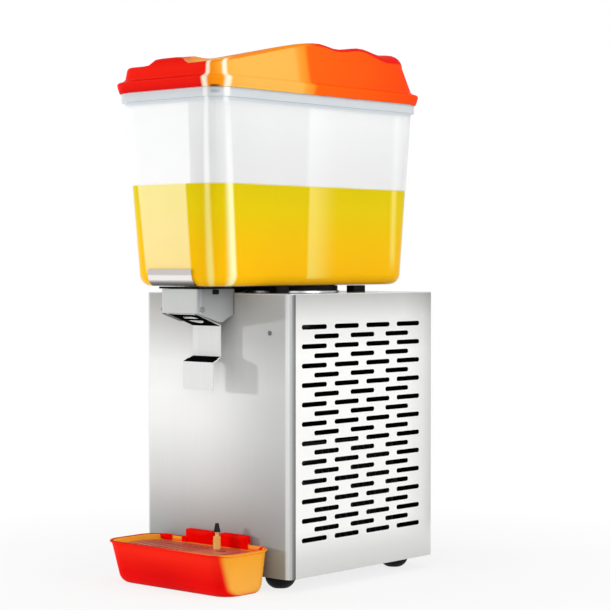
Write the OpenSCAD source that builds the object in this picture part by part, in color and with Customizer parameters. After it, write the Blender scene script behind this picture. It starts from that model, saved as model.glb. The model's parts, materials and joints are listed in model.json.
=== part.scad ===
// Countertop juice dispenser: a clear chilled tank on a vented cabinet, with a push-lever tap and drip tray.
// Millimetres, +Z up, the front faces -Y. The origin lies on the floor under the middle of the outline.

/* [Cabinet] */
// Width of the cabinet
cab_w = 262; // [240:1:300]
// Depth of the cabinet from front panel to rear panel
cab_d = 290; // [275:1:335]
// Height of the cabinet without its feet
cab_h = 362; // [330:1:420]
// Thickness of the sheet metal
sheet = 1.2; // [0.8:0.1:2]
// Radius of the front panel's folded upright edges
edge_r = 10; // [6:1:14]
// Open seam between the front panel's fold and a side panel
seam = 1.2; // [0.6:0.1:2]
// Height of the base pan's upturned lip
pan_lip = 18; // [10:1:30]
// Depth of the top deck's downturned lip
deck_lip = 14; // [8:1:24]
// Width of the inward flanges on the side and rear panels
flange = 11; // [8:1:16]
// Gap left between sheets that slide together
seat_gap = 0.2; // [0.1:0.05:0.4]

/* [Feet] */
// Diameter of a foot
foot_d = 40; // [36:1:48]
// Height of a foot
foot_h = 16.5; // [10:0.5:17]
// Distance of a foot's centre from the cabinet's side
foot_in_x = 42; // [28:1:50]
// Distance of a foot's centre from the cabinet's front and rear
foot_in_y = 29; // [24:1:40]
// Diameter of the stud on a foot
foot_stud_d = 6; // [4:0.5:8]

/* [Side vents] */
// Length of a vent slot
slot_l = 48.6; // [40:0.2:56]
// Height of a vent slot
slot_h = 6.2; // [3:0.1:7]
// Spacing of the slots in a long row
slot_pitch = 64; // [58:0.5:72]
// Spacing of the slots in a short row
short_pitch = 72; // [66:0.5:80]
// Spacing of the rows
row_pitch = 12.36; // [10:0.02:16]
// Distance of the first slot from the front panel
vent_front = 23; // [18:1:32]
// Bare strip behind the last slot
vent_back = 25; // [16:1:40]
// Distance of the top row below the cabinet's top
vent_top = 42.4; // [30:0.2:60]
// Bare strip below the bottom row
vent_low = 45; // [30:1:60]

/* [Rear panel] */
// Width of the rear vent field
rear_vent_w = 150; // [110:1:180]
// Distance of the rear switches from the middle
switch_x = 56; // [40:1:80]
// Distance of the rear controls below the cabinet's top
control_drop = 60; // [52:1:90]
// Width of a rocker switch opening
switch_w = 22; // [18:1:28]
// Height of a rocker switch opening
switch_h = 28; // [24:1:34]
// Diameter of the thermostat knob
knob_d = 34; // [26:1:42]
// Height of the thermostat knob
knob_h = 16; // [12:1:20]
// Diameter of the thermostat spindle
spindle_d = 6; // [5:0.5:8]
// Diameter of the mains cable's way through its gland
gland_bore_d = 8; // [6:0.5:10]

/* [Tank] */
// Width of the tank at its lip
tank_w_top = 182; // [170:1:200]
// Width of the tank at its base
tank_w_base = 165; // [150:1:170]
// Reach of the tank's lip in front of the front panel
tank_front_top = 90; // [86:1:110]
// Reach of the tank's base in front of the front panel
tank_front_base = 82; // [76:1:84]
// Reach of the tank's lip behind the rear panel
tank_back_top = 23.5; // [23:0.5:40]
// Reach of the tank's base behind the rear panel
tank_back_base = 21; // [5:0.5:22]
// Corner radius of the tank at its lip
tank_r_top = 26; // [22:1:36]
// Corner radius of the tank at its base
tank_r_base = 43; // [34:1:48]
// Radius of the tank's bottom edge
tank_fillet = 16; // [10:1:22]
// Thickness of the tank's walls
tank_wall = 3.5; // [2.5:0.1:5]
// Thickness of the tank's floor
tank_floor = 4; // [3:0.1:6]
// Height of the tank from its floor to its lip
tank_h = 249; // [220:1:280]
// Height of the tank's outward lip band
lip_h = 12; // [8:1:16]
// Stand-out of the lip band
lip_out = 4; // [3:0.5:6]
// Height of the tank's wall above its lip band
lip_up = 6; // [4:1:8]
// Height of the support pads under the tank
pad_h = 9; // [8:0.5:16]
// Width of the silver strip low on the tank's front
trim_w = 78; // [60:1:84]
// Height of the silver strip's top edge above the tank's base
trim_top = 22.5; // [18:0.5:30]
// Height of the silver strip's lower edge above the tank's base
trim_low = 1; // [1:0.5:10]
// Thickness of the silver strip
trim_t = 1.6; // [1:0.1:2.4]

/* [Lid] */
// Stand-out of the lid's rim past the tank's lip band
lid_over = 3.5; // [2:0.5:6]
// Thickness of the lid's walls
lid_wall = 3; // [2:0.1:4]
// Height of the lid's rim
lid_rim_h = 14; // [10:0.5:18]
// Step from the rim in to the lid's wall
lid_step = 9; // [8.5:0.5:14]
// Slope of the lid's front and side walls, measured as run at the top
lid_draft = 9; // [5:1:14]
// Slope of the lid's back wall, measured as run at the top
lid_back_draft = 24; // [16:1:40]
// Height of the lid's front edge above its rim's foot
lid_front_h = 35; // [30:1:44]
// Height of the lid's highest side edge above its rim's foot
lid_peak_h = 70; // [58:1:80]
// Run of the ramp from the lid's front to its highest part
lid_ramp = 182; // [140:1:200]
// Length of the flat stretch at the top of the ramp
lid_flat = 36; // [24:1:60]
// Depth of the waves behind the flat stretch
lid_dip = 4.5; // [3:0.5:9]
// Number of waves behind the flat stretch
lid_waves = 2; // [1:1:3]
// Drop of the top edge from the flat stretch to the lid's back
lid_fall = 1; // [0:1:8]
// Width of the raised hump at the lid's front
crown_w = 92; // [70:1:110]
// Length of the hump
crown_len = 120; // [90:1:160]
// Height of the hump above the side edges
crown_h = 6; // [4:0.5:10]
// Distance of the hump's foot from the lid's front wall
crown_front = 10; // [9:1:20]

/* [Tap] */
// Width of the tap shroud
shroud_w = 70; // [66:1:84]
// Reach of the tap shroud in front of the front panel
shroud_reach = 66; // [63:1:75]
// Height of the shroud's front lip
shroud_lip_h = 31; // [26:1:34]
// Gap between the shroud's top edge and the tank's base
shroud_gap = 3; // [2:0.5:6]
// Depth of the shroud's ears below its front lip
ear_drop = 11.5; // [8:0.5:14]
// Distance of the ears' lowest point from the front panel
ear_y = 23; // [20:1:34]
// Depth of the ears' rear ends below the front lip
ear_rear = 1; // [0:1:8]
// Radius of the shroud's upright corners and of its ears
shroud_r = 7; // [5:1:9]
// Distance of the outlet's axis from the front panel
outlet_y = 40; // [37:1:43]
// Outer diameter of the valve body
valve_d = 22; // [20:0.5:26]
// Bore of the valve body
valve_bore_d = 14; // [12.5:0.5:16]
// Diameter of the valve's clamping flange and nut
valve_flange_d = 34; // [30:1:40]
// Diameter of the plunger's stem
stem_d = 5; // [4:0.5:6]
// Lift of the plunger when the lever is pushed home
valve_lift = 4.3; // [2:0.1:4.6]
// Distance of the lever's pin from the front panel
pin_y = 59; // [57:0.5:61]
// Diameter of the lever's pin
pin_d = 4; // [3:0.5:5]
// Width of the lever's plate
lever_w = 50; // [44:1:60]
// Width of the lever's paddle
paddle_w = 54; // [40:1:60]
// Thickness of the lever's plate
lever_t = 1.6; // [1.2:0.1:2.4]
// Distance of the lever's upper plate from the front panel
lever_y = 16; // [16:0.5:22]
// Depth of the lever's upper plate's top below the shroud's front lip
lever_drop = 16; // [14:0.5:18]
// Height of the lever's upper plate
lever_upper = 40.5; // [30:0.5:46]
// Fall of the lever's bend between upper plate and paddle
lever_bend = 7; // [5:1:12]
// Step forward of the paddle from the upper plate
lever_step = 16; // [8:1:20]
// Height of the lever's paddle
paddle_h = 36; // [24:1:44]

/* [Drip tray] */
// Width of the tray's rim
tray_w = 218; // [190:1:240]
// Reach of the tray's rim in front of the front panel
tray_reach = 98; // [94:1:116]
// Gap between the tray's rear wall and the front panel
tray_back_gap = 5; // [5:0.5:10]
// Height of the tray's rim above the floor
tray_h = 56; // [46:1:70]
// Corner radius of the tray's rim
tray_r = 26; // [18:1:36]
// Slope of the tray's front wall, measured as run at the floor
tray_front_draft = 16; // [10:1:30]
// Slope of the tray's other walls, measured as run at the floor
tray_draft = 7; // [4:1:12]
// Radius of the tray's bottom edge
tray_edge = 9; // [5:1:14]
// Thickness of the tray's walls
tray_wall = 2.4; // [1.8:0.1:3.5]
// Stand-out and height of the tray's rolled rim
tray_bead = 2.4; // [1.5:0.1:3.5]
// Clearance of the tray's bottom above the floor
tray_lift = 0.5; // [0.2:0.1:2]
// Width of an upright tab at the tray's back
tab_w = 49; // [36:1:60]
// Gap between the two tabs
tab_gap = 14; // [12:0.5:24]
// Distance of the tabs' middle to the right of the tray's middle
tab_x = 10; // [0:1:20]
// Rise of the tabs above the rim
tab_rise = 12; // [6:1:18]
// Depth of the grille below the rim
grille_drop = 7; // [5:0.5:9]
// Thickness of the grille
grille_t = 2.5; // [2:0.1:4]
// Width of a grille slot
grille_slot = 5; // [3:0.5:7]
// Spacing of the grille slots
grille_pitch = 11; // [9:0.5:14]
// Diameter of the finger hole in the grille
finger_d = 16; // [14:1:20]
// Distance of the finger hole to the right of the float
finger_right = 18; // [17:1:30]
// Distance of the finger hole in front of the float
finger_ahead = 11; // [4:1:20]
// Distance of the float to the right of the tray's middle
float_x = 24; // [0:1:28]
// Diameter of the float
float_d = 15; // [12:0.5:17]
// Height of the float
float_h = 13; // [9:0.5:15]
// Diameter of the float's stem and of its guide in the grille
float_stem_d = 5; // [4:0.5:6]
// Rise of the float's stem above the tray's rim
float_rise = 15; // [12:1:22]
// Diameter of the amber collar below the float's cap
float_collar_d = 9.5; // [8:0.5:10]
// Diameter of the black cap on the float's stem
float_cap_d = 9; // [7:0.5:10]
// Height of the black cap on the float's stem
float_cap_h = 11; // [8:0.5:13]

/* [Cooling and stirring] */
// Diameter of the evaporator dome
dome_d = 110; // [96:1:116]
// Height of the evaporator dome above the deck
dome_h = 106; // [90:1:120]
// Distance of the dome's axis behind the front panel
dome_y = 150; // [140:1:170]
// Wall of the evaporator dome
dome_wall = 1.5; // [1:0.1:2.5]
// Width of the dome's clamping flange
dome_flange = 10; // [9:0.5:14]
// Radial clearance between the dome and its gasket
dome_gap = 0.3; // [0.2:0.05:0.6]
// Diameter of the spindle on the dome
dome_pin_d = 6; // [5:0.5:8]
// Diameter of the stirrer's sweep
stirrer_d = 98; // [70:1:104]
// Height of the stirrer
stirrer_h = 24; // [18:1:30]
// Diameter of the drive magnet's disc
magnet_d = 74; // [60:1:80]
// Diameter of the stirrer motor
stir_motor_d = 62; // [50:1:80]
// Height of the stirrer motor
stir_motor_h = 46; // [40:1:60]
// Diameter of the compressor
comp_d = 116; // [100:1:116]
// Height of the compressor
comp_h = 150; // [120:1:170]
// Length of the condenser's finned block
cond_l = 170; // [150:1:190]
// Height of the condenser
cond_h = 160; // [160:1:180]
// Thickness of the condenser
cond_t = 36; // [28:1:40]
// Spacing of the condenser's fins
fin_pitch = 12; // [9:0.5:16]
// Diameter of the fan
fan_d = 142; // [120:1:146]
// Number of fan blades
fan_blades_n = 5; // [3:1:7]
// Radial clearance of shafts and pins in their bores
run_gap = 0.05; // [0.02:0.01:0.09]

/* [Hidden] */
$fn = 64;
hull_fn = 32;

// Small shared allowances
eps = 0.01;
thru = 1;
soft_gap = 0.1;
move_gap = 0.3;

// Levels and the depth frame
lid_off = lip_out + lid_over;
lid_reach = tank_front_top + lid_off;
lid_rear = cab_d + tank_back_top + lid_off;
front_reach = max(lid_reach, tray_reach + tray_bead);
cab_front = (front_reach - lid_rear) / 2;
cab_back = cab_front + cab_d;
cab_mid = cab_front + cab_d / 2;
pan_z = foot_h;
pan_top = pan_z + sheet;
cab_top = foot_h + cab_h;
panel_h = cab_h - sheet;
tank_z = cab_top + pad_h;
lip_z = tank_z + tank_h;
pan_w = cab_w - 2 * (sheet + seat_gap);
pan_d = cab_d - 2 * (sheet + seat_gap);
pan_r = edge_r - sheet - seat_gap;
flange_z = pan_z + pan_lip + seat_gap;
flange_h = cab_h - sheet - deck_lip - pan_lip - 2 * seat_gap;
side_y = cab_front + edge_r + seam;

// Vent field: long rows start at the front, short rows sit between them
row_n = floor((cab_h - vent_top - vent_low) / row_pitch) + 1;
long_n = floor((cab_d - vent_front - vent_back - slot_l) / slot_pitch) + 1;
vent_mid = vent_front + ((long_n - 1) * slot_pitch + slot_l) / 2;

// Tap levels
shroud_top = tank_z - shroud_gap;
lip_low = shroud_top - shroud_lip_h;
ear_low = lip_low - ear_drop;
pin_up = 5;
outlet = cab_front - outlet_y;
pin_yy = cab_front - pin_y;
pin_z = lip_low + pin_up;
lever_top = lip_low - lever_drop;
lever_back = cab_front - lever_y;
bend_z = lever_top - lever_upper;
paddle_z = bend_z - lever_bend;
lug_r = 5;
nozzle_gap = 3.5;
nut_h = 6;
nut_gap = 1;
slope_start_z = pin_z - lug_r;
slope_rate = (slope_start_z - lever_top) / (pin_y - lever_y + lever_t);
slope_t = lever_t * norm([1, slope_rate]);
plate_z_at_outlet = slope_start_z - slope_rate * (pin_y - outlet_y);
stem_low = plate_z_at_outlet + slope_rate * stem_d / 2 + move_gap;
nozzle_z = plate_z_at_outlet + valve_lift + nozzle_gap;
valve_seat = tank_z + tank_floor + nut_h + nut_gap;

// Dome and stirrer levels
dome_yy = cab_front + dome_y;
dome_top = cab_top + dome_h;
dome_r = dome_d / 2;
magnet_t = 12;
shaft_d = 6;
motor_plate_t = 2;
motor_plate_z = cab_top - sheet - motor_plate_t;

// Fan and condenser places
inner_gap = 12;
cond_x = cab_w / 2 - sheet - flange - cond_t - thru;
fan_plate_x = cond_x - inner_gap;
fan_hub_l = 14;
fan_hub_x = fan_plate_x - fan_hub_l - 4 * thru;
throat_gap = 3;
plate_edge = 7;
fan_z = pan_top + plate_edge + throat_gap + fan_d / 2;
mount_h = 10;
comp_x = -cab_w / 2 + sheet + comp_d / 2 + inner_gap;
comp_foot = comp_d - inner_gap;
mount_d = 16;
mount_in = comp_foot / 2 - mount_d / 2 - thru;
comp_y = cab_back - foot_in_y - foot_stud_d / 2 - thru - mount_d / 2 - mount_in;
comp_foot_z = pan_top + mount_h;

// Tray levels
tray_front = cab_front - tray_reach;
tray_back = cab_front - tray_back_gap;
tray_len = tray_reach - tray_back_gap;
tray_rim_z = tray_h;
grille_z = tray_rim_z - grille_drop - grille_t;
float_gap = 3;
float_y = tray_back - tray_wall - tray_draft / 2 - float_d / 2 - float_gap;
tray_floor_z = tray_lift + tray_wall;

// Outline of a rectangle with round corners, centred
module round_rect(w, d, r) {
    square([w - 2 * r, d], center = true);
    square([w, d - 2 * r], center = true);
    for (sx = [-1, 1]) for (sy = [-1, 1])
        translate([sx * (w / 2 - r), sy * (d / 2 - r)]) circle(r = r);
}

// Thin slice of a rounded outline between two depths, for a loft
module slice(w, y0, y1, r, z) {
    translate([0, (y0 + y1) / 2, z])
        linear_extrude(eps) round_rect(w, y1 - y0, r, $fn = hull_fn);
}

// Slot with round ends, centred
module slot(l, h) {
    square([l - h, h], center = true);
    for (s = [-1, 1]) translate([s * (l - h) / 2, 0]) circle(d = h);
}

// Extrudes an outline drawn in (depth, height) across the width w, centred on the middle
module across(w) {
    translate([-w / 2, 0, 0]) rotate([90, 0, 90]) linear_extrude(w) children();
}

// Cylinder lying along the width, centred on the middle
module cross_pin(d, l, y, z) {
    translate([-l / 2, y, z]) rotate([0, 90, 0]) cylinder(d = d, h = l);
}

// Cylinder that runs from the depth y0 to y1
module depth_pin(d, x, y0, y1, z) {
    translate([x, y1, z]) rotate([90, 0, 0]) cylinder(d = d, h = y1 - y0);
}

// Places a copy at each foot
module at_feet() {
    for (sx = [-1, 1]) for (y = [cab_front + foot_in_y, cab_back - foot_in_y])
        translate([sx * (cab_w / 2 - foot_in_x), y, 0]) children();
}

// Base pan: a folded tray that carries the feet and the cooling set
module base_pan() {
    color("gainsboro") difference() {
        translate([0, cab_mid, pan_z]) linear_extrude(pan_lip) round_rect(pan_w, pan_d, pan_r);
        translate([0, cab_mid, pan_top])
            linear_extrude(pan_lip) round_rect(pan_w - 2 * sheet, pan_d - 2 * sheet, pan_r - sheet);
        at_feet() translate([0, 0, pan_z - thru])
            cylinder(d = foot_stud_d + 2 * run_gap, h = sheet + 2 * thru);
    }
}

// Feet: shallow rubber domes with a flat sole and a stud into the base pan
sole_cut = 1.2;
stud_out = 6;
module feet() {
    core = foot_d / 2 - foot_h;
    color("#151515") at_feet() {
        rotate_extrude() intersection() {
            square([foot_d / 2, foot_h]);
            union() {
                square([core, foot_h]);
                translate([core, foot_h - sole_cut]) circle(r = foot_h);
            }
        }
        cylinder(d = foot_stud_d, h = foot_h + sheet + stud_out);
    }
}

// Screw places on the front and rear panels, as [x, z]
screw_d = 4;
screw_grip = 5;
front_in = 34;
front_end = 50;
low_in = 70;
low_up = 6;
rear_in = 16;
rear_end = 25;
rear_rows_z = [cab_top - rear_end, pan_z + cab_h / 2, pan_z + rear_end];
front_screws = [[cab_w / 2 - front_in, cab_top - front_end],
                for (sx = [-1, 1]) [sx * (cab_w / 2 - low_in), pan_z + pan_lip + low_up]];
rear_screws = [for (sx = [-1, 1]) for (z = rear_rows_z) [sx * (cab_w / 2 - rear_in), z]];

module screw_holes(places, y) {
    for (p = places) depth_pin(screw_d + 2 * run_gap, p[0], y - thru, y + sheet + thru, p[1]);
}

// Front panel: one sheet folded back at both upright edges
module front_panel() {
    color("#c9caca") difference() {
        translate([0, cab_mid, pan_z]) linear_extrude(panel_h) round_rect(cab_w, cab_d, edge_r);
        translate([0, cab_mid, pan_z - thru]) linear_extrude(panel_h + 2 * thru)
            round_rect(cab_w - 2 * sheet, cab_d - 2 * sheet, edge_r - sheet);
        translate([-cab_w, cab_front + edge_r, pan_z - thru])
            cube([2 * cab_w, 2 * cab_d, cab_h + 2 * thru]);
        screw_holes(front_screws, cab_front);
    }
}

// Brick pattern of vent slots, drawn in (depth from the front panel, height above the floor)
module vent_field() {
    for (i = [0:row_n - 1]) {
        long = i % 2 == 0;
        n = long ? long_n : long_n - 1;
        pitch = long ? slot_pitch : short_pitch;
        for (j = [0:n - 1])
            translate([vent_mid + (j - (n - 1) / 2) * pitch, cab_top - vent_top - i * row_pitch])
                slot(slot_l, slot_h);
    }
}

// Right side panel: a vented plate with an inward flange behind the front fold
module right_side_panel() {
    color("#f2f2f0") {
        difference() {
            translate([cab_w / 2 - sheet, side_y, pan_z]) cube([sheet, cab_back - side_y, panel_h]);
            translate([0, cab_front, 0]) translate([cab_w / 2 - sheet - thru, 0, 0])
                rotate([90, 0, 90]) linear_extrude(sheet + 2 * thru) vent_field();
        }
        translate([cab_w / 2 - sheet - flange, side_y, flange_z]) cube([flange + eps, sheet, flange_h]);
    }
}

module left_side_panel() {
    mirror([1, 0, 0]) right_side_panel();
}

// Rear panel: a plate between the sides, with vents, two switch openings, the thermostat and the cable gland
rear_w = cab_w - 2 * (sheet + seat_gap);
control_z = cab_top - control_drop;
knob_x = 0;
rear_vent_drop = 62;
rear_vent_low = 70;
rear_vent_gap = 12;
rear_vent_top = control_z - rear_vent_drop;
rear_rows = floor((rear_vent_top - pan_z - rear_vent_low) / (2 * row_pitch)) + 1;
gland_in = 52;
gland_up = 40;
gland_x = cab_w / 2 - gland_in;
gland_z = pan_z + gland_up;
gland_wall = 5;
gland_d = gland_bore_d + 2 * gland_wall;
gland_flange_t = 4;
gland_nose = 9;
gland_inner = 8;
spindle_play = 0.5;

module rear_hole(d, x, z) {
    depth_pin(d, x, cab_back - sheet - thru, cab_back + thru, z);
}

module rear_panel() {
    color("#d8d9d8") {
        difference() {
            translate([-rear_w / 2, cab_back - sheet, pan_z]) cube([rear_w, sheet, panel_h]);
            for (i = [0:rear_rows - 1]) for (s = [-1, 1])
                translate([s * rear_vent_w / 4, cab_back + thru, rear_vent_top - i * 2 * row_pitch])
                    rotate([90, 0, 0]) linear_extrude(sheet + 2 * thru)
                        slot(rear_vent_w / 2 - rear_vent_gap, slot_h);
            for (s = [-1, 1])
                translate([s * switch_x - switch_w / 2, cab_back - sheet - thru, control_z - switch_h / 2])
                    cube([switch_w, sheet + 2 * thru, switch_h]);
            rear_hole(spindle_d + 2 * spindle_play, knob_x, control_z);
            rear_hole(gland_d, gland_x, gland_z);
            screw_holes(rear_screws, cab_back - sheet);
        }
        for (s = [-1, 1])
            translate([s > 0 ? rear_w / 2 - sheet : -rear_w / 2, cab_back - sheet - flange, flange_z])
                cube([sheet, flange + eps, flange_h]);
    }
}

// Top deck: closes the cabinet and carries the evaporator dome
dome_seat = 6;
deck_hole_d = dome_d - 2 * dome_seat;
module top_deck() {
    color("#dcdcdb") difference() {
        union() {
            translate([0, cab_mid, cab_top - sheet]) linear_extrude(sheet) {
                round_rect(cab_w, cab_d, edge_r);
                translate([-cab_w / 2, 0]) square([cab_w, cab_d / 2]);
            }
            translate([0, cab_mid, cab_top - sheet - deck_lip]) linear_extrude(deck_lip + eps) difference() {
                round_rect(pan_w, pan_d, pan_r);
                round_rect(pan_w - 2 * sheet, pan_d - 2 * sheet, pan_r - sheet);
            }
        }
        translate([0, dome_yy, cab_top - sheet - thru]) cylinder(d = deck_hole_d, h = sheet + 2 * thru);
    }
}

// Panel screws: pan heads with short shanks, front and rear
screw_head_d = 6;
screw_head_h = 1.6;
module panel_screw() {
    rotate([90, 0, 0]) {
        translate([0, 0, -sheet - screw_grip]) cylinder(d = screw_d, h = sheet + screw_grip + eps);
        rotate_extrude() intersection() {
            square([screw_head_d / 2, screw_head_h]);
            translate([0, screw_head_h - screw_head_d]) circle(r = screw_head_d);
        }
    }
}

module panel_screws() {
    color("silver") {
        for (p = front_screws) translate([p[0], cab_front, p[1]]) panel_screw();
        for (p = rear_screws) translate([p[0], cab_back, p[1]]) mirror([0, 1, 0]) panel_screw();
    }
}

// Tap shroud: a folded hood under the tank's overhang, whose ears carry the lever's pin
module shroud_side() {
    translate([cab_front, 0]) {
        polygon([[-shroud_reach, shroud_top], [-shroud_reach, lip_low], [-ear_y - shroud_r, ear_low],
                 [-ear_y, ear_low], [0, lip_low - ear_rear], [0, shroud_top]]);
        translate([-ear_y, ear_low + shroud_r]) circle(r = shroud_r);
    }
}

module tap_shroud() {
    hood_l = 2 * shroud_reach;
    color("#cfd0d0") difference() {
        intersection() {
            translate([0, cab_front, ear_low - thru])
                linear_extrude(shroud_top - ear_low + 2 * thru) difference() {
                    round_rect(shroud_w, hood_l, shroud_r);
                    round_rect(shroud_w - 2 * sheet, hood_l - 2 * sheet, shroud_r - sheet);
                }
            across(shroud_w + 2 * thru) shroud_side();
        }
        cross_pin(pin_d, shroud_w + 2 * thru, pin_yy, pin_z);
    }
}

// Support pads: rubber blocks between the deck and the tank
pad_w = 16;
pad_l = 24;
pad_r = 3;
pad_x = tank_w_base / 2 - tank_fillet - pad_w / 2;
pad_run = 78;
pad_rows = [dome_yy - pad_run - pad_l / 2, dome_yy + pad_run - pad_l / 2];
module tank_support_pads() {
    color("#161616") for (sx = [-1, 1]) for (y = pad_rows)
        translate([sx * pad_x, y, cab_top]) linear_extrude(pad_h - soft_gap) round_rect(pad_w, pad_l, pad_r);
}

// Evaporator dome: a drawn steel cup with a clamping flange and the stirrer's spindle
dome_round = 12;
flange_t = 2;
module dome_profile(r, h, f) {
    intersection() {
        square([r, h]);
        union() {
            square([r, h - f]);
            square([r - f, h]);
            translate([r - f, h - f]) circle(r = f);
        }
    }
}

module evaporator_dome() {
    color("lightsteelblue") translate([0, dome_yy, cab_top]) {
        rotate_extrude() difference() {
            union() {
                dome_profile(dome_r, dome_h, dome_round);
                square([dome_r + dome_flange, flange_t]);
            }
            translate([0, -thru])
                dome_profile(dome_r - dome_wall, dome_h - dome_wall + thru, dome_round - dome_wall);
        }
        translate([0, 0, dome_h - eps]) cylinder(d = dome_pin_d, h = stirrer_h + eps);
    }
}

// Drive magnet: a disc under the dome's top on the motor's shaft
module drive_magnet() {
    magnet_z = dome_top - dome_wall - move_gap - magnet_t;
    shaft_z = motor_plate_z - stir_motor_h / 2;
    color("dimgray") translate([0, dome_yy, 0]) {
        translate([0, 0, magnet_z]) cylinder(d = magnet_d, h = magnet_t);
        translate([0, 0, shaft_z]) cylinder(d = shaft_d, h = magnet_z - shaft_z + eps);
    }
}

// Stirrer: a magnet ring with upright vanes that turns on the dome's spindle
hub_d = 18;
vane_n = 3;
vane_t = 3;
ring_h = 7;
module stirrer() {
    color("white") translate([0, dome_yy, dome_top + move_gap]) difference() {
        union() {
            cylinder(d = magnet_d, h = ring_h);
            cylinder(d = hub_d, h = stirrer_h);
            for (i = [0:vane_n - 1]) rotate([0, 0, i * 360 / vane_n]) intersection() {
                translate([0, -vane_t / 2, 0]) cube([stirrer_d / 2, vane_t, stirrer_h]);
                cylinder(d = stirrer_d, h = stirrer_h);
            }
        }
        translate([0, 0, -thru]) cylinder(d = dome_pin_d + 2 * run_gap, h = stirrer_h + 2 * thru);
    }
}

// Stirrer motor: hangs under the deck by its round plate
plate_lap = 10;
motor_boss = 6;
module stirrer_motor() {
    color("#3a3d40") translate([0, dome_yy, 0]) difference() {
        union() {
            translate([0, 0, motor_plate_z]) cylinder(d = deck_hole_d + 2 * plate_lap, h = motor_plate_t);
            translate([0, 0, motor_plate_z - stir_motor_h])
                cylinder(d = stir_motor_d, h = stir_motor_h + eps);
            translate([0, 0, motor_plate_z]) cylinder(d = hub_d, h = motor_plate_t + motor_boss);
        }
        translate([0, 0, motor_plate_z - stir_motor_h / 2 - move_gap])
            cylinder(d = shaft_d + 2 * run_gap, h = stir_motor_h);
    }
}

// Compressor: a welded pot on a foot plate, held by four rubber mounts
comp_foot_t = 3;
comp_dome_r = 28;
comp_seam = 4;
comp_seam_z = comp_h / 2;
mount_tip = 3;
module at_mounts() {
    for (sx = [-1, 1]) for (sy = [-1, 1])
        translate([comp_x + sx * mount_in, comp_y + sy * mount_in, 0]) children();
}

module compressor() {
    pot_z = comp_foot_z + comp_foot_t;
    color("#1b1c1e") {
        translate([comp_x, comp_y, pot_z]) {
            rotate_extrude() dome_profile(comp_d / 2 - comp_seam, comp_h, comp_dome_r);
            translate([0, 0, comp_seam_z]) cylinder(d = comp_d, h = comp_seam);
        }
        difference() {
            translate([comp_x, comp_y, comp_foot_z]) linear_extrude(comp_foot_t + eps)
                round_rect(comp_foot, comp_foot, mount_d / 2);
            at_mounts() translate([0, 0, comp_foot_z - thru])
                cylinder(d = mount_d / 2 + 2 * run_gap, h = comp_foot_t + 2 * thru);
        }
    }
}

module compressor_mounts() {
    color("#101010") at_mounts() translate([0, 0, pan_top]) {
        cylinder(d = mount_d, h = mount_h);
        cylinder(d = mount_d / 2, h = mount_h + comp_foot_t + mount_tip);
    }
}

// Condenser: a finned block of looped tubes behind the right side's vents
tube_d = 8;
tube_n = 5;
tube_pitch = cond_h / tube_n;
fin_t = 1;
fin_n = floor((cond_l - 2 * fin_pitch) / fin_pitch) + 1;
function tube_z(i) = pan_top + tube_pitch * (i + 0.5);

module condenser() {
    color("#6f7274") translate([cond_x, dome_yy, 0]) {
        for (i = [0:fin_n - 1])
            translate([0, (i - (fin_n - 1) / 2) * fin_pitch - fin_t / 2, pan_top])
                cube([cond_t, fin_t, cond_h]);
        for (i = [0:tube_n - 1])
            translate([cond_t / 2, cond_l / 2, tube_z(i)]) rotate([90, 0, 0])
                cylinder(d = tube_d, h = cond_l);
        for (i = [0:tube_n - 2])
            translate([cond_t / 2, (i % 2 == 0 ? 1 : -1) * cond_l / 2, tube_z(i) + tube_pitch / 2])
                rotate([0, 0, i % 2 == 0 ? 0 : 180]) rotate([0, 90, 0]) u_bend();
    }
}

// Half ring of tube that joins two neighbouring straight tubes
module u_bend() {
    intersection() {
        rotate_extrude() translate([tube_pitch / 2, 0]) circle(d = tube_d);
        translate([-tube_pitch, 0, -tube_d]) cube([2 * tube_pitch, tube_pitch, 2 * tube_d]);
    }
}

// Fan bracket: a plate with a round throat, and arms that hold the motor
fan_plate_w = fan_d + 2 * (throat_gap + plate_edge);
motor_d = 46;
motor_l = 28;
arm_w = 8;
arm_t = 3;
arm_x = fan_hub_x - inner_gap - arm_t;
module fan_bracket() {
    color("#bfc2c4") {
        difference() {
            translate([fan_plate_x, dome_yy - fan_plate_w / 2, pan_top])
                cube([sheet, fan_plate_w, fan_plate_w]);
            translate([fan_plate_x - thru, dome_yy, fan_z]) rotate([0, 90, 0])
                cylinder(d = fan_d + 2 * throat_gap, h = sheet + 2 * thru);
        }
        for (y = [-fan_plate_w / 2, fan_plate_w / 2 - arm_t])
            translate([arm_x, dome_yy + y, fan_z - arm_w / 2])
                cube([fan_plate_x - arm_x + eps, arm_t, arm_w]);
        difference() {
            union() {
                translate([arm_x, dome_yy - fan_plate_w / 2, fan_z - arm_w / 2])
                    cube([arm_t, fan_plate_w, arm_w]);
                translate([arm_x, dome_yy, fan_z]) rotate([0, 90, 0]) cylinder(d = motor_d, h = arm_t);
            }
            translate([arm_x - thru, dome_yy, fan_z]) rotate([0, 90, 0])
                cylinder(d = 2 * shaft_d, h = arm_t + 2 * thru);
        }
    }
}

// Fan motor: bolted to the bracket's cross arm, its shaft towards the throat
module fan_motor() {
    color("#2c2f33") translate([arm_x - motor_l, dome_yy, fan_z]) rotate([0, 90, 0]) {
        cylinder(d = motor_d, h = motor_l);
        cylinder(d = shaft_d, h = motor_l + fan_hub_x - arm_x + fan_hub_l);
    }
}

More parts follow.
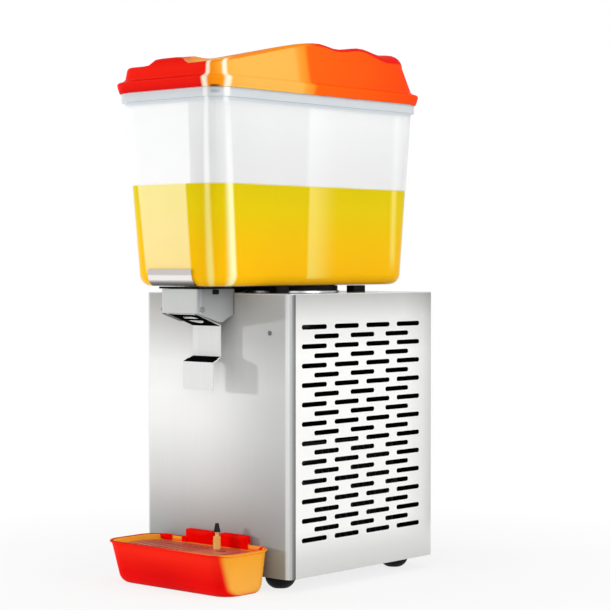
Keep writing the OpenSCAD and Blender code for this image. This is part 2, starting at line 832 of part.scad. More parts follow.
// Fan: pitched blades on a hub that runs on the motor's shaft
blade_pitch = 32;
blade_t = 1.6;
fan_hub_d = 34;
blade_w = 42;
module fan() {
    color("#20242a") translate([fan_hub_x, dome_yy, fan_z]) rotate([0, 90, 0]) difference() {
        union() {
            cylinder(d = fan_hub_d, h = fan_hub_l);
            for (i = [0:fan_blades_n - 1]) rotate([0, 0, i * 360 / fan_blades_n]) intersection() {
                translate([fan_d / 4, 0, fan_hub_l / 2]) rotate([blade_pitch, 0, 0])
                    cube([fan_d / 2, blade_w, blade_t], center = true);
                cylinder(d = fan_d, h = fan_hub_l);
            }
        }
        translate([0, 0, -thru]) cylinder(d = shaft_d + 2 * run_gap, h = fan_hub_l + 2 * thru);
    }
}

// Thermostat: a box behind the rear panel with a spindle through it
thermo_w = 44;
thermo_d = 26;
thermo_h = 36;
module thermostat() {
    color("#d9d4c4") {
        translate([knob_x - thermo_w / 2, cab_back - sheet - thermo_d, control_z - thermo_h / 2])
            cube([thermo_w, thermo_d, thermo_h]);
        depth_pin(spindle_d, knob_x, cab_back - sheet - eps, cab_back + knob_h - knob_cap - thru, control_z);
    }
}

// Thermostat knob: a ribbed cap on the spindle
rib_n = 18;
rib_d = 2;
knob_cap = 3;
module thermostat_knob() {
    color("#161616") translate([knob_x, cab_back + move_gap, control_z]) rotate([-90, 0, 0]) difference() {
        union() {
            cylinder(d = knob_d + 2 * rib_d, h = knob_cap);
            cylinder(d = knob_d, h = knob_h);
            for (i = [0:rib_n - 1]) rotate([0, 0, i * 360 / rib_n])
                translate([knob_d / 2, 0, 0]) cylinder(d = rib_d, h = knob_h - rib_d);
        }
        translate([0, 0, -thru]) cylinder(d = spindle_d + 2 * run_gap, h = knob_h - knob_cap + thru);
    }
}

// Switch housings: bezels with a pocket for each rocker
bezel = 3;
bezel_t = 2;
switch_depth = 16;
pocket_wall = 2;
rocker_w = switch_w - 2 * pocket_wall - 2 * move_gap;
rocker_l = switch_h - 2 * pocket_wall - 2 * move_gap;
rocker_tilt = 9;
rocker_pin_d = 3;
rocker_root = 3;
rocker_mid = 5;
rocker_top = 6.5;
rocker_play = 1;
rocker_pin_y = cab_back - rocker_root;
module switch_block(inset, y, l) {
    translate([-switch_w / 2 + inset, y, -switch_h / 2 + inset])
        cube([switch_w - 2 * inset, l, switch_h - 2 * inset]);
}

module switch_housing(x) {
    translate([x, cab_back, control_z]) difference() {
        union() {
            switch_block(-bezel, 0, bezel_t);
            switch_block(seat_gap, -switch_depth, switch_depth + eps);
        }
        switch_block(pocket_wall, pocket_wall - switch_depth, switch_depth + bezel_t);
        translate([-switch_w / 2 + pocket_wall / 2, -rocker_root, 0]) rotate([0, 90, 0])
            cylinder(d = rocker_pin_d + 2 * run_gap, h = switch_w - pocket_wall);
    }
}

module switch_housings() {
    color("#111111") for (s = [-1, 1]) switch_housing(s * switch_x);
}

// Rocker: a shallow V-shaped key on a cross pin, drawn in its off position
module rocker(x) {
    half = rocker_l / 2 - rocker_play;
    translate([x, rocker_pin_y, control_z]) rotate([rocker_tilt, 0, 0]) {
        intersection() {
            across(rocker_w)
                polygon([[-rocker_root, -rocker_root], [rocker_root, -half], [rocker_top, -half],
                         [rocker_mid, 0], [rocker_top, half], [rocker_root, half],
                         [-rocker_root, rocker_root]]);
            cross_pin(2 * half + rocker_play, rocker_w, 0, 0);
        }
        cross_pin(rocker_pin_d, switch_w - pocket_wall - 2 * move_gap, 0, 0);
    }
}

module cooling_rocker() {
    color("#2e8b3d") rocker(switch_x);
}

module stirring_rocker() {
    color("#b52018") rocker(-switch_x);
}

// Cable gland: a flanged bush low on the rear panel, with no cord in it
module cable_gland() {
    color("#141414") translate([gland_x, cab_back, gland_z]) rotate([-90, 0, 0]) difference() {
        union() {
            translate([0, 0, -sheet - gland_inner])
                cylinder(d = gland_d - 2 * soft_gap, h = sheet + gland_inner + eps);
            cylinder(d = gland_d + 2 * gland_flange_t, h = gland_flange_t);
            cylinder(d = gland_d, h = gland_flange_t + gland_nose);
        }
        translate([0, 0, -sheet - gland_inner - thru])
            cylinder(d = gland_bore_d, h = sheet + gland_inner + gland_flange_t + gland_nose + 2 * thru);
    }
}

// Loft of the tank's outside, moved outwards by the offset o, up to the level top
tank_y0 = cab_front - tank_front_top;
tank_y1 = cab_back + tank_back_top;
fillet_steps = 4;
module tank_form(o, top) {
    round_z = tank_z + tank_fillet;
    round_r = tank_fillet + o;
    y0 = cab_front - tank_front_base;
    y1 = cab_back + tank_back_base;
    hull() {
        for (a = [0:90 / fillet_steps:90]) {
            out = o - round_r * (1 - cos(a));
            slice(tank_w_base + 2 * out, y0 - out, y1 + out, tank_r_base + out, round_z - round_r * sin(a));
        }
        slice(tank_w_top + 2 * o, tank_y0 - o, tank_y1 + o, tank_r_top + o, top);
    }
}

// Band that follows the tank's lip, moved outwards by the offset o
module lip_band(o, h) {
    translate([0, (tank_y0 + tank_y1) / 2, 0])
        linear_extrude(h) round_rect(tank_w_top + 2 * o, tank_y1 - tank_y0 + 2 * o, tank_r_top + o);
}

// Tank: a clear lofted tub with a lip band, a hole for the dome and a hole for the valve
gasket_web = 4;
dome_hole_d = dome_d + 2 * gasket_web;
module tank() {
    color([0.92, 0.95, 0.96, 0.35]) difference() {
        union() {
            tank_form(0, lip_z);
            translate([0, 0, lip_z - lip_h]) lip_band(lip_out, lip_h);
            translate([0, 0, lip_z - eps]) lip_band(0, lip_up + eps);
        }
        difference() {
            tank_form(-tank_wall, lip_z + eps);
            translate([-tank_w_top, cab_front - cab_d, tank_z])
                cube([2 * tank_w_top, 3 * cab_d, tank_floor]);
        }
        translate([0, 0, lip_z - eps]) lip_band(-tank_wall, lip_up + thru);
        translate([0, dome_yy, tank_z - thru]) cylinder(d = dome_hole_d, h = tank_floor + 2 * thru);
        translate([0, outlet, tank_z - thru])
            cylinder(d = valve_d + 2 * soft_gap, h = tank_floor + 2 * thru);
    }
}

// Dome gasket: a grooved ring in the tank's floor that seals against the dome
gasket_w = 7;
gasket_lip = 4;
module dome_gasket() {
    r0 = dome_r + dome_gap;
    low = cab_top + flange_t + soft_gap;
    lip = tank_z + tank_floor + soft_gap;
    color("#2a2a2a") translate([0, dome_yy, 0]) rotate_extrude() {
        translate([r0, low]) square([gasket_w, tank_z - soft_gap - low]);
        translate([r0, low]) square([dome_hole_d / 2 - soft_gap - r0, lip - low + eps]);
        translate([r0, lip]) square([gasket_w, gasket_lip]);
    }
}

// Silver strip: follows the tank's front above its bottom edge
module tank_front_trim() {
    color("#d9d9da") intersection() {
        difference() {
            tank_form(soft_gap + trim_t, lip_z);
            tank_form(soft_gap, lip_z + thru);
        }
        translate([-trim_w / 2, cab_front - tank_front_top - lip_out, tank_z + trim_low])
            cube([trim_w, tank_front_base, trim_top - trim_low]);
    }
}

// Valve body: a flanged tube through the tank's floor with a guide for the plunger's stem
valve_flange_t = 5;
guide_t = 5;
guide_z = tank_z - valve_flange_t - guide_t;
guide_wall = 1.5;
spoke_t = 2;
module valve_body() {
    color("#e9e9e6") translate([0, outlet, 0]) {
        difference() {
            union() {
                translate([0, 0, nozzle_z]) cylinder(d = valve_d, h = valve_seat - nozzle_z);
                translate([0, 0, tank_z - valve_flange_t])
                    cylinder(d = valve_flange_d, h = valve_flange_t - soft_gap);
            }
            translate([0, 0, nozzle_z - thru])
                cylinder(d = valve_bore_d, h = valve_seat - nozzle_z + 2 * thru);
            translate([0, 0, tank_z - ring_t]) ring_cut();
        }
        difference() {
            union() {
                translate([0, 0, guide_z]) cylinder(d = stem_d + 2 * guide_wall, h = guide_t);
                for (a = [0, 120, 240]) rotate([0, 0, a]) translate([0, -spoke_t / 2, guide_z])
                    cube([valve_bore_d / 2 + thru, spoke_t, guide_t]);
            }
            translate([0, 0, guide_z - thru]) cylinder(d = stem_d + 2 * run_gap, h = guide_t + 2 * thru);
        }
    }
}

// O-ring groove in the flange's upper face
ring_t = 2;
ring_r = valve_d / 2 + 1.5 * ring_t;
module ring_cut() {
    rotate_extrude() translate([ring_r - ring_t / 2 - soft_gap, -soft_gap])
        square([ring_t + 2 * soft_gap, ring_t + thru]);
}

module valve_o_ring() {
    color("#191919") translate([0, outlet, tank_z - ring_t / 2 - soft_gap]) rotate_extrude()
        translate([ring_r, 0]) circle(d = ring_t - soft_gap);
}

// Valve nut: clamps the valve body from inside the tank
module valve_nut() {
    color("#dededb") translate([0, outlet, tank_z + tank_floor]) difference() {
        cylinder(d = valve_flange_d, h = nut_h, $fn = 6);
        translate([0, 0, -thru]) cylinder(d = valve_d + 2 * run_gap, h = nut_h + 2 * thru);
    }
}

// Valve plunger: a stem with a head over the seat and a collar for the spring
head_t = 3;
head_in = 1;
seal_t = 2;
collar_t = 2;
collar_in = 2;
collar_d = valve_bore_d - 2 * collar_in;
collar_z = nozzle_z + collar_t;
module valve_plunger() {
    head_z = valve_seat + seal_t + soft_gap;
    color("#b9bcbd") translate([0, outlet, 0]) {
        translate([0, 0, stem_low]) cylinder(d = stem_d, h = head_z - stem_low + eps);
        translate([0, 0, head_z]) cylinder(d = valve_d - 2 * head_in, h = head_t);
        translate([0, 0, collar_z]) cylinder(d = collar_d, h = collar_t);
    }
}

module plunger_seal() {
    color("#262626") translate([0, outlet, valve_seat + soft_gap]) difference() {
        cylinder(d = valve_d - 2 * head_in, h = seal_t);
        translate([0, 0, -thru]) cylinder(d = stem_d, h = seal_t + 2 * thru);
    }
}

// Plunger spring: the envelope of a small coil between the guide and the collar
spring_play = 1;
module plunger_spring() {
    z0 = collar_z + collar_t + soft_gap;
    color("silver") translate([0, outlet, z0]) difference() {
        cylinder(d = collar_d - 2 * move_gap, h = guide_z - soft_gap - z0);
        translate([0, 0, -thru]) cylinder(d = stem_d + 2 * spring_play, h = guide_z + 2 * thru - z0);
    }
}

// Outline of the bent lever plate in (depth, height): slope, upper plate, bend and paddle
module lever_line() {
    t = lever_t;
    y = lever_back;
    p = lever_back - lever_step;
    drop = t * (norm([lever_step, lever_bend]) - lever_bend) / lever_step;
    low = paddle_z - paddle_h;
    polygon([[pin_yy, slope_start_z], [y + t, lever_top], [y + t, bend_z - drop], [p + t, paddle_z - drop],
             [p + t, low], [p, low], [p, paddle_z], [y, bend_z], [y, lever_top + slope_rate * t - slope_t],
             [pin_yy, slope_start_z - slope_t]]);
}

// Tap lever: a bent plate with two lugs on the pin, a window under the nozzle and a bar under the stem
window_d = valve_d + 4;
bar_w = 7;
paddle_r = 4;
module tap_lever() {
    color("#d5d6d6") difference() {
        union() {
            intersection() {
                across(max(lever_w, paddle_w)) lever_line();
                union() {
                    translate([-lever_w / 2, lever_back - cab_d, paddle_z]) cube([lever_w, 2 * cab_d, cab_h]);
                    translate([0, lever_back, paddle_z]) rotate([90, 0, 0])
                        linear_extrude(2 * cab_d, center = true) {
                            translate([-paddle_w / 2, -paddle_h + paddle_r]) square([paddle_w, paddle_h]);
                            translate([0, -paddle_h / 2]) round_rect(paddle_w, paddle_h, paddle_r);
                        }
                }
            }
            for (s = [-1, 1]) translate([s > 0 ? lever_w / 2 - lever_t : -lever_w / 2, pin_yy, 0])
                rotate([90, 0, 90]) linear_extrude(lever_t) {
                    translate([0, pin_z]) circle(r = lug_r);
                    translate([-lug_r, slope_start_z - slope_t]) square([2 * lug_r, lug_r + slope_t]);
                }
        }
        cross_pin(pin_d + 2 * run_gap, lever_w + 2 * thru, pin_yy, pin_z);
        difference() {
            translate([0, outlet, lever_top]) cylinder(d = window_d, h = shroud_lip_h);
            translate([-window_d, outlet - bar_w / 2, lever_top]) cube([2 * window_d, bar_w, shroud_lip_h]);
        }
    }
}

// Lever pin: held in the shroud's cheeks, with a round head at each end
pin_head_d = pin_d + 3;
pin_head_t = 1.5;
module lever_pin() {
    color("#a9abac") {
        cross_pin(pin_d - 2 * run_gap, shroud_w + 2 * seat_gap, pin_yy, pin_z);
        for (s = [-1, 1]) translate([s * (shroud_w / 2 + soft_gap + pin_head_t / 2), 0, 0])
            cross_pin(pin_head_d, pin_head_t, pin_yy, pin_z);
    }
}

// Height of the lid's side edge above the rim's foot, at the run s from the lid's front
lid_len = lid_reach + lid_rear;
lid_wave_len = lid_len - lid_ramp - lid_flat - lid_step - lid_back_draft;
function wave_part(s) = max(0, min(1, (s - lid_ramp - lid_flat) / lid_wave_len));
function lid_edge(s) =
    s < lid_ramp ? lid_front_h + (lid_peak_h - lid_front_h) * s / lid_ramp
                 : lid_peak_h - lid_fall * wave_part(s)
                   - lid_dip * (1 - cos(360 * lid_waves * wave_part(s))) / 2;

// Block under the lid's top line, raised by up
profile_step = 12;
lid_foot = lip_z + soft_gap;
module lid_profile(up) {
    y0 = cab_front - lid_reach;
    n = ceil(lid_len / profile_step);
    across(2 * cab_w) polygon(concat(
        [[y0 + lid_len, lid_foot], [y0, lid_foot]],
        [for (i = [0:n]) [y0 + lid_len * i / n, lid_foot + lid_edge(lid_len * i / n) + up]]));
}

// Solid body of the lid above its rim, drawn in by the inset i
module lid_body(i) {
    y0 = cab_front - lid_reach + lid_step + i;
    y1 = cab_front + lid_rear - lid_step - i;
    w = tank_w_top + 2 * (lid_off - lid_step - i);
    r = max(tank_r_top + lid_off - lid_step - i, lid_draft + lid_wall);
    top = lid_foot + lid_peak_h + crown_h + thru;
    intersection() {
        hull() {
            slice(w, y0, y1, r, lid_foot);
            slice(w - 2 * lid_draft, y0 + lid_draft, y1 - lid_back_draft, r - lid_draft, top);
        }
        lid_profile(-i);
    }
    intersection() {
        hull() {
            slice(crown_w - 2 * i, y0 + crown_front, y0 + crown_len, crown_w / 3, lid_foot);
            slice(crown_w / 2 - 2 * i, y0 + 2 * crown_front, y0 + crown_len / 2, crown_w / 5, top);
        }
        lid_profile(crown_h - i);
    }
}

// Lid: a moulded shell with a rim that rests on the tank's lip band
module lid() {
    color("orangered") difference() {
        union() {
            translate([0, 0, lid_foot]) lip_band(lid_off, lid_rim_h);
            lid_body(0);
        }
        lid_body(lid_wall);
        translate([0, 0, lid_foot - thru]) lip_band(move_gap, lip_up + thru + move_gap);
    }
}

// Loft of the tray's outside, drawn in by the inset i, from the level low to the rim
module tray_form(i, low, top) {
    y0 = tray_front + i;
    y1 = tray_back - i;
    w = tray_w - 2 * i;
    r = tray_r - i;
    foot_y = y0 + tray_front_draft;
    foot_w = w - 2 * tray_draft;
    side = tray_edge / 2;
    hull() {
        slice(foot_w - 2 * side, foot_y + side, y1 - tray_draft / 2 - side, r - tray_draft / 2, low);
        slice(foot_w, foot_y - side, y1 - tray_draft / 2, r - tray_draft / 2, low + tray_edge);
        slice(w, y0, y1, r, top);
    }
}

// Drip tray: a boat-shaped tub with a rolled rim, two upright tabs, spacer ribs behind and grille bosses
boss_d = 9;
tab_t = 3;
tab_r = 4;
rib_h = 20;
boss_in = 30;
boss_back = 16;
boss_x = tray_w / 2 - boss_in;
boss_ys = [tray_front + tray_front_draft + boss_d, tray_back - boss_back];
module drip_tray() {
    color("#f02a0c") {
        difference() {
            union() {
                tray_form(0, tray_lift, tray_rim_z);
                translate([0, (tray_front + tray_back) / 2, tray_rim_z - tray_bead]) linear_extrude(tray_bead)
                    round_rect(tray_w + 2 * tray_bead, tray_len + 2 * tray_bead, tray_r + tray_bead);
            }
            tray_form(tray_wall, tray_floor_z, tray_rim_z + thru);
        }
        for (s = [-1, 1]) translate([tab_x + s * (tab_gap + tab_w) / 2, tray_back + tray_bead, tray_rim_z]) {
            translate([0, 0, (tab_rise - tray_bead) / 2]) rotate([90, 0, 0])
                linear_extrude(tab_t) round_rect(tab_w, tab_rise + tray_bead, tab_r);
            translate([-tab_t / 2, -eps, -rib_h])
                cube([tab_t, tray_back_gap - tray_bead - move_gap, rib_h]);
        }
        for (sx = [-1, 1]) for (y = boss_ys)
            translate([sx * boss_x, y, tray_floor_z - tray_wall / 2])
                cylinder(d = boss_d, h = grille_z - soft_gap - tray_floor_z + tray_wall / 2);
    }
}

// Drip grille: a slotted plate with a finger hole and a guide for the float's stem
grille_gap = 1.2;
grille_edge = 12;
tray_slant = (grille_drop + grille_t) / (tray_h - tray_lift);
grille_w = tray_w - 2 * (tray_wall + grille_gap + tray_draft * tray_slant);
grille_y0 = tray_front + tray_wall + grille_gap + tray_front_draft * tray_slant;
grille_y1 = tray_back - tray_wall - grille_gap - tray_draft / 2 * tray_slant;
grille_len = grille_y1 - grille_y0;
grille_n = floor((grille_w - 2 * grille_edge - grille_slot) / grille_pitch) + 1;
guide_play = 1;
guide_d = max(float_cap_d, float_collar_d) + 2 * guide_play;
module drip_grille() {
    slot_len = grille_len - 2 * grille_edge;
    finger_x = float_x + finger_right;
    finger_y = float_y - finger_ahead;
    color("#c8452c") translate([0, 0, grille_z]) difference() {
        translate([0, (grille_y0 + grille_y1) / 2, 0]) linear_extrude(grille_t)
            round_rect(grille_w, grille_len, tray_r - tray_wall - grille_gap);
        translate([0, (grille_y0 + grille_y1) / 2, -thru]) linear_extrude(grille_t + 2 * thru)
            for (i = [0:grille_n - 1]) {
                x = (i - (grille_n - 1) / 2) * grille_pitch;
                clear_of_finger = abs(x - finger_x) > finger_d / 2 + grille_slot;
                clear_of_float = abs(x - float_x) > guide_d / 2 + grille_slot;
                if (clear_of_finger && clear_of_float)
                    translate([x, 0]) rotate(90) slot(slot_len, grille_slot);
            }
        translate([finger_x, finger_y, -thru]) cylinder(d = finger_d, h = grille_t + 2 * thru);
        translate([float_x, float_y, -thru]) cylinder(d = guide_d, h = grille_t + 2 * thru);
    }
}

// Float: an amber bobbin whose collared stem shows when the tray is full
float_z = tray_floor_z + move_gap;
stem_top = tray_rim_z + float_rise;
neck_h = 6;
collar_low = grille_z - float_z;
module float() {
    color("#f0c060") translate([float_x, float_y, float_z]) {
        rotate_extrude() intersection() {
            square([float_d / 2, float_h]);
            translate([0, float_h / 2]) circle(r = (float_d + grille_gap) / 2);
        }
        cylinder(d = float_stem_d, h = stem_top - float_z);
        translate([0, 0, collar_low]) cylinder(d = float_collar_d, h = stem_top - neck_h - grille_z);
    }
}

module float_cap() {
    color("#141414") translate([float_x, float_y, stem_top])
        cylinder(d1 = float_cap_d, d2 = float_cap_d / 2, h = float_cap_h);
}

base_pan();
feet();
front_panel();
right_side_panel();
left_side_panel();
rear_panel();
top_deck();
panel_screws();
tap_shroud();
tank_support_pads();
evaporator_dome();
drive_magnet();
stirrer();
stirrer_motor();
compressor();
compressor_mounts();
condenser();
fan_bracket();
fan_motor();
fan();
thermostat();
thermostat_knob();
switch_housings();
cooling_rocker();
stirring_rocker();
cable_gland();
tank();
dome_gasket();
tank_front_trim();
valve_body();
valve_nut();
valve_o_ring();
valve_plunger();
plunger_seal();
plunger_spring();
tap_lever();
lever_pin();
lid();
drip_tray();
drip_grille();
float();
float_cap();
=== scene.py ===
import json
import math

import bmesh
import bpy
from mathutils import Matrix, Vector


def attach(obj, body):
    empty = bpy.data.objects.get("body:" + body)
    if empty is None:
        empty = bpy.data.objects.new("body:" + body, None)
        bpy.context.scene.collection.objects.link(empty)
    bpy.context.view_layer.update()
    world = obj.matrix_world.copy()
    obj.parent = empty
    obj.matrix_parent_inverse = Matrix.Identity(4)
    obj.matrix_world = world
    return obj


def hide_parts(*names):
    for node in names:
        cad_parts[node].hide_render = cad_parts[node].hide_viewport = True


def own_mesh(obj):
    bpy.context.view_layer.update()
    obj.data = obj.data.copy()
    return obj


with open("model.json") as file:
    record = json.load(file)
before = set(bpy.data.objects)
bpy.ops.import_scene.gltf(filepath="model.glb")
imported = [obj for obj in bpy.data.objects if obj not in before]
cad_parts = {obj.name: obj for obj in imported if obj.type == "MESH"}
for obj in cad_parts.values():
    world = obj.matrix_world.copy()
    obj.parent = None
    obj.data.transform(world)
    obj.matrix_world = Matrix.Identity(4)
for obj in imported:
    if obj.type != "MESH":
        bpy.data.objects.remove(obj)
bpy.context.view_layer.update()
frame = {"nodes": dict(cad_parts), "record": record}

NODES = frame["nodes"]
MM = 0.001

# Sizes shared with the solids, in millimetres
CAB_FRONT, CAB_BACK, CAB_TOP = -110.3, 179.7, 378.5
TANK_Z, LIP_Z, JUICE_Z = 387.5, 636.5, 517.5
DOME_Y, VALVE_Y = 39.7, -150.3
KNOB_Z, KNOB_CAP = 318.5, 10.0
LID_FOOT = LIP_Z + 0.1
TRAY_FRONT, TRAY_BACK = CAB_FRONT - 98, CAB_FRONT - 5


# Mesh helpers

MERGE = 0.02 * MM


def clamp(x, low=0.0, high=1.0):
    return min(high, max(low, x))


def between(p, q, t):
    """Point, or row of sizes, at the part t of the way from p to q."""
    return tuple(a + (b - a) * t for a, b in zip(p, q))


def on_circle(cx, cy, r, degrees):
    a = math.radians(degrees)
    return cx + r * math.cos(a), cy + r * math.sin(a)


def rounded_loop(w, y0, y1, r, corner=12, across=10, deep=26):
    """Points round a rounded rectangle, anticlockwise from the front's right corner."""
    x = w / 2 - r
    centres = [(x, y0 + r, -90), (x, y1 - r, 0), (-x, y1 - r, 90), (-x, y0 + r, 180)]
    pts = []
    for k, (cx, cy, start) in enumerate(centres):
        pts += [on_circle(cx, cy, r, start + 90 * i / corner) for i in range(corner + 1)]
        next_x, next_y, next_start = centres[(k + 1) % 4]
        here, there = pts[-1], on_circle(next_x, next_y, r, next_start)
        n = deep if k % 2 == 0 else across
        pts += [between(here, there, i / n) for i in range(1, n)]
    return pts


def at(loop, z):
    return [(x, y, z) for x, y in loop]


def outline(plan, out, z):
    """Loop at the height z of a plan (width, front, back, corner radius), moved outwards by out."""
    w, y0, y1, r = plan
    return at(rounded_loop(w + 2 * out, y0 - out, y1 + out, r + out), z)


def put(name, data):
    """A new object in the scene."""
    ob = bpy.data.objects.new(name, data)
    bpy.context.scene.collection.objects.link(ob)
    return ob


def make(name, form, sharp=32):
    """A smooth-shaded mesh object from (verts, faces), with its points in millimetres."""
    verts, faces = form
    me = bpy.data.meshes.new(name)
    me.from_pydata([(x * MM, y * MM, z * MM) for x, y, z in verts], [], faces)
    bm = bmesh.new()
    bm.from_mesh(me)
    bmesh.ops.remove_doubles(bm, verts=bm.verts, dist=MERGE)
    bmesh.ops.dissolve_degenerate(bm, edges=bm.edges, dist=MERGE)
    bmesh.ops.recalc_face_normals(bm, faces=bm.faces)
    bm.to_mesh(me)
    bm.free()
    for p in me.polygons:
        p.use_smooth = True
    me.set_sharp_from_angle(angle=math.radians(sharp))
    return put(name, me)


def skin(loops):
    """Quads between closed loops of equal length, as (verts, faces)."""
    n = len(loops[0])
    verts = [p for loop in loops for p in loop]
    faces = []
    for a in range(len(loops) - 1):
        for i in range(n):
            j = (i + 1) % n
            faces.append((a * n + i, a * n + j, (a + 1) * n + j, (a + 1) * n + i))
    return verts, faces


def add(group, part):
    """Joins (verts, faces) of a second form to a first."""
    base = len(group[0])
    group[0].extend(part[0])
    group[1].extend(tuple(i + base for i in f) for f in part[1])


def block(loop2d, place, depth, bevel):
    """A plate with rounded edges: an outline in 2D, set in space by place(u, v, d)."""
    cx = sum(u for u, _ in loop2d) / len(loop2d)
    cy = sum(v for _, v in loop2d) / len(loop2d)
    w = max(u for u, _ in loop2d) - cx
    h = max(v for _, v in loop2d) - cy
    turn = bevel * 0.3

    def ring(inset, d):
        return [place(cx + (u - cx) * (1 - inset / w), cy + (v - cy) * (1 - inset / h), d) for u, v in loop2d]

    def middle(d):
        return [place(cx, cy, d)] * len(loop2d)

    return skin([middle(0), ring(bevel, 0), ring(turn, turn), ring(0, bevel),
                 ring(0, depth - bevel), ring(turn, depth - turn), ring(bevel, depth), middle(depth)])


def curve_through(points, x):
    """Smooth line through (x, value) points."""
    if x <= points[0][0]:
        return points[0][1]
    if x >= points[-1][0]:
        return points[-1][1]
    k = max(i for i in range(len(points) - 1) if points[i][0] <= x)
    x0, y0 = points[k]
    x1, y1 = points[k + 1]

    def slope(i):
        a = points[max(i - 1, 0)]
        b = points[min(i + 1, len(points) - 1)]
        return (b[1] - a[1]) / (b[0] - a[0])

    h = x1 - x0
    t = (x - x0) / h
    return (y0 * (2 * t**3 - 3 * t**2 + 1) + slope(k) * h * (t**3 - 2 * t**2 + t)
            + y1 * (-2 * t**3 + 3 * t**2) + slope(k + 1) * h * (t**3 - t**2))


def smooth(a, b, x):
    t = clamp((x - a) / (b - a))
    return t * t * (3 - 2 * t)


def lower(a, b, soft):
    """The lower of two heights, with the corner between them eased."""
    h = max(soft - abs(a - b), 0.0) / soft
    return min(a, b) - h * h * soft / 4


# Lid: moulded shell with a flared rim, a coved step, sloping walls and a waved top with a hump at the front

LID_W, LID_Y0, LID_Y1, LID_R = 197.0, CAB_FRONT - 97.5, CAB_BACK + 31.0, 33.5
LID_PLAN = (LID_W, LID_Y0, LID_Y1, LID_R)
LID_WALL = 3.0
LID_STEP = 9.0
LID_DRAFT, LID_BACK_DRAFT, LID_TIP_R = 9.0, 24.0, 12.0
WALL_FOOT = LID_FOOT + 19.5
LID_TOP = LID_FOOT + 74.0
# Rim: distance in from the lid's outline, height above the lid's foot
RIM_INSIDE = [(12.4, 8.0), (12.0, 6.6), (7.4, 6.4), (7.2, 6.0), (7.2, 0.6), (6.6, 0.0)]
RIM_OUTSIDE = [(1.8, 0.0), (1.2, 0.3), (1.0, 0.9), (-0.4, 5.0), (-1.7, 9.6), (-1.9, 11.0), (-1.4, 12.4),
               (-0.1, 13.5), (2.0, 14.2), (4.3, 14.8), (6.3, 15.8), (7.9, 17.2), (8.7, 18.5)]
# Height of the top's edge above the lid's foot, by the distance from the lid's front
EDGE = [(4.5, 33.4), (21.5, 35.9), (55.5, 42.7), (102.5, 52.7), (150.5, 63.4), (182.5, 68.2), (214.5, 70.4),
        (248.5, 65.9), (297.5, 71.2), (340.5, 66.3), (364.5, 67.9), (402.5, 67.9)]
# Radius along that edge, what it gains towards the back, and where it grows (distance from the back)
EDGE_ROUND, BACK_ROUND = 5.5, 12.5
GROW_FROM, GROW_TO = 120, 40
WALL_STEPS, TOP_STEPS = 6, 12
# Ramp behind the front: start, height there, rise per millimetre; it starts further back towards the left
RAMP_FROM, RAMP_H, RAMP_RISE, RAMP_SOFT = 4.5, 34.2, 0.202, 3.0
RAMP_SKEW, SKEW_X = 55.0, 80.0
# Hump: height, and where it falls away to the sides and to the back
HUMP_H, HUMP_SIDE, HUMP_BACK = 8.0, (22, 40), (28, 65)
# Ends of the line on which the top's surface closes
MID_FRONT, MID_BACK = LID_Y0 + 80, LID_Y1 - 90


def lid_height(x, y):
    u = y - LID_Y0
    delay = RAMP_SKEW * clamp((SKEW_X - x) / (2 * SKEW_X))
    ramp = RAMP_H + RAMP_RISE * max(0.0, u - RAMP_FROM - delay)
    hump = HUMP_H * (1 - smooth(*HUMP_SIDE, abs(x))) * (1 - smooth(*HUMP_BACK, u))
    return LID_FOOT + lower(curve_through(EDGE, u), ramp, RAMP_SOFT) + hump


def lid_loops(i):
    """Loops of the lid's surface, drawn in by i, from the wall's foot to the middle of the top."""
    inset = LID_STEP + i
    base = rounded_loop(LID_W - 2 * inset, LID_Y0 + inset, LID_Y1 - inset, LID_R - inset)
    tip = rounded_loop(LID_W - 2 * (inset + LID_DRAFT), LID_Y0 + inset + LID_DRAFT,
                       LID_Y1 - inset - LID_BACK_DRAFT, max(LID_R - inset - LID_DRAFT / 2, LID_TIP_R))

    def on_wall(foot, top, z):
        return between(foot, top, (z - WALL_FOOT) / (LID_TOP - WALL_FOOT))

    def middle(y):
        return 0.0, clamp(y, MID_FRONT, MID_BACK)

    tops = []
    for b, t in zip(base, tip):
        z = LID_TOP
        for _ in range(4):
            z = lid_height(*on_wall(b, t, z)) - i
        tops.append(z)
    grown = [smooth(LID_Y1 - GROW_FROM, LID_Y1 - GROW_TO, y) for _, y in base]
    rounds = [EDGE_ROUND + BACK_ROUND * g - 0.8 * i for g in grown]
    loops = []
    for step in range(WALL_STEPS + 1):
        ring = []
        for b, t, z1, r in zip(base, tip, tops, rounds):
            z = WALL_FOOT + (z1 - r - WALL_FOOT) * step / WALL_STEPS
            ring.append((*on_wall(b, t, z), z))
        loops.append(ring)
    edge = loops[-1]
    for turn in (15, 30, 45, 60, 75, 90):
        a = math.radians(turn)
        ring = []
        for (x, y, _), z1, r in zip(edge, tops, rounds):
            cx, cy = middle(y)
            run = r * (1 - math.cos(a)) / math.hypot(cx - x, cy - y)
            ring.append((*between((x, y), (cx, cy), run), z1 - r + r * math.sin(a)))
        loops.append(ring)
    crest = loops[-1]
    for step in range(1, TOP_STEPS + 1):
        t = step / TOP_STEPS
        ring = []
        for x, y, z in crest:
            px, py = between((x, y), middle(y), t)
            keep = (1 - smooth(0, 0.25, t)) * (z - (lid_height(x, y) - i))
            ring.append((px, py, lid_height(px, py) - i + keep))
        loops.append(ring)
    return loops


def build_lid():
    rim = [outline(LID_PLAN, -d, LID_FOOT + z) for d, z in RIM_INSIDE + RIM_OUTSIDE]
    return make("lid_shell", skin(lid_loops(LID_WALL)[::-1] + rim + lid_loops(0.0)), sharp=45)


# Tank: clear tub with a lip band, open where the dome comes through its floor

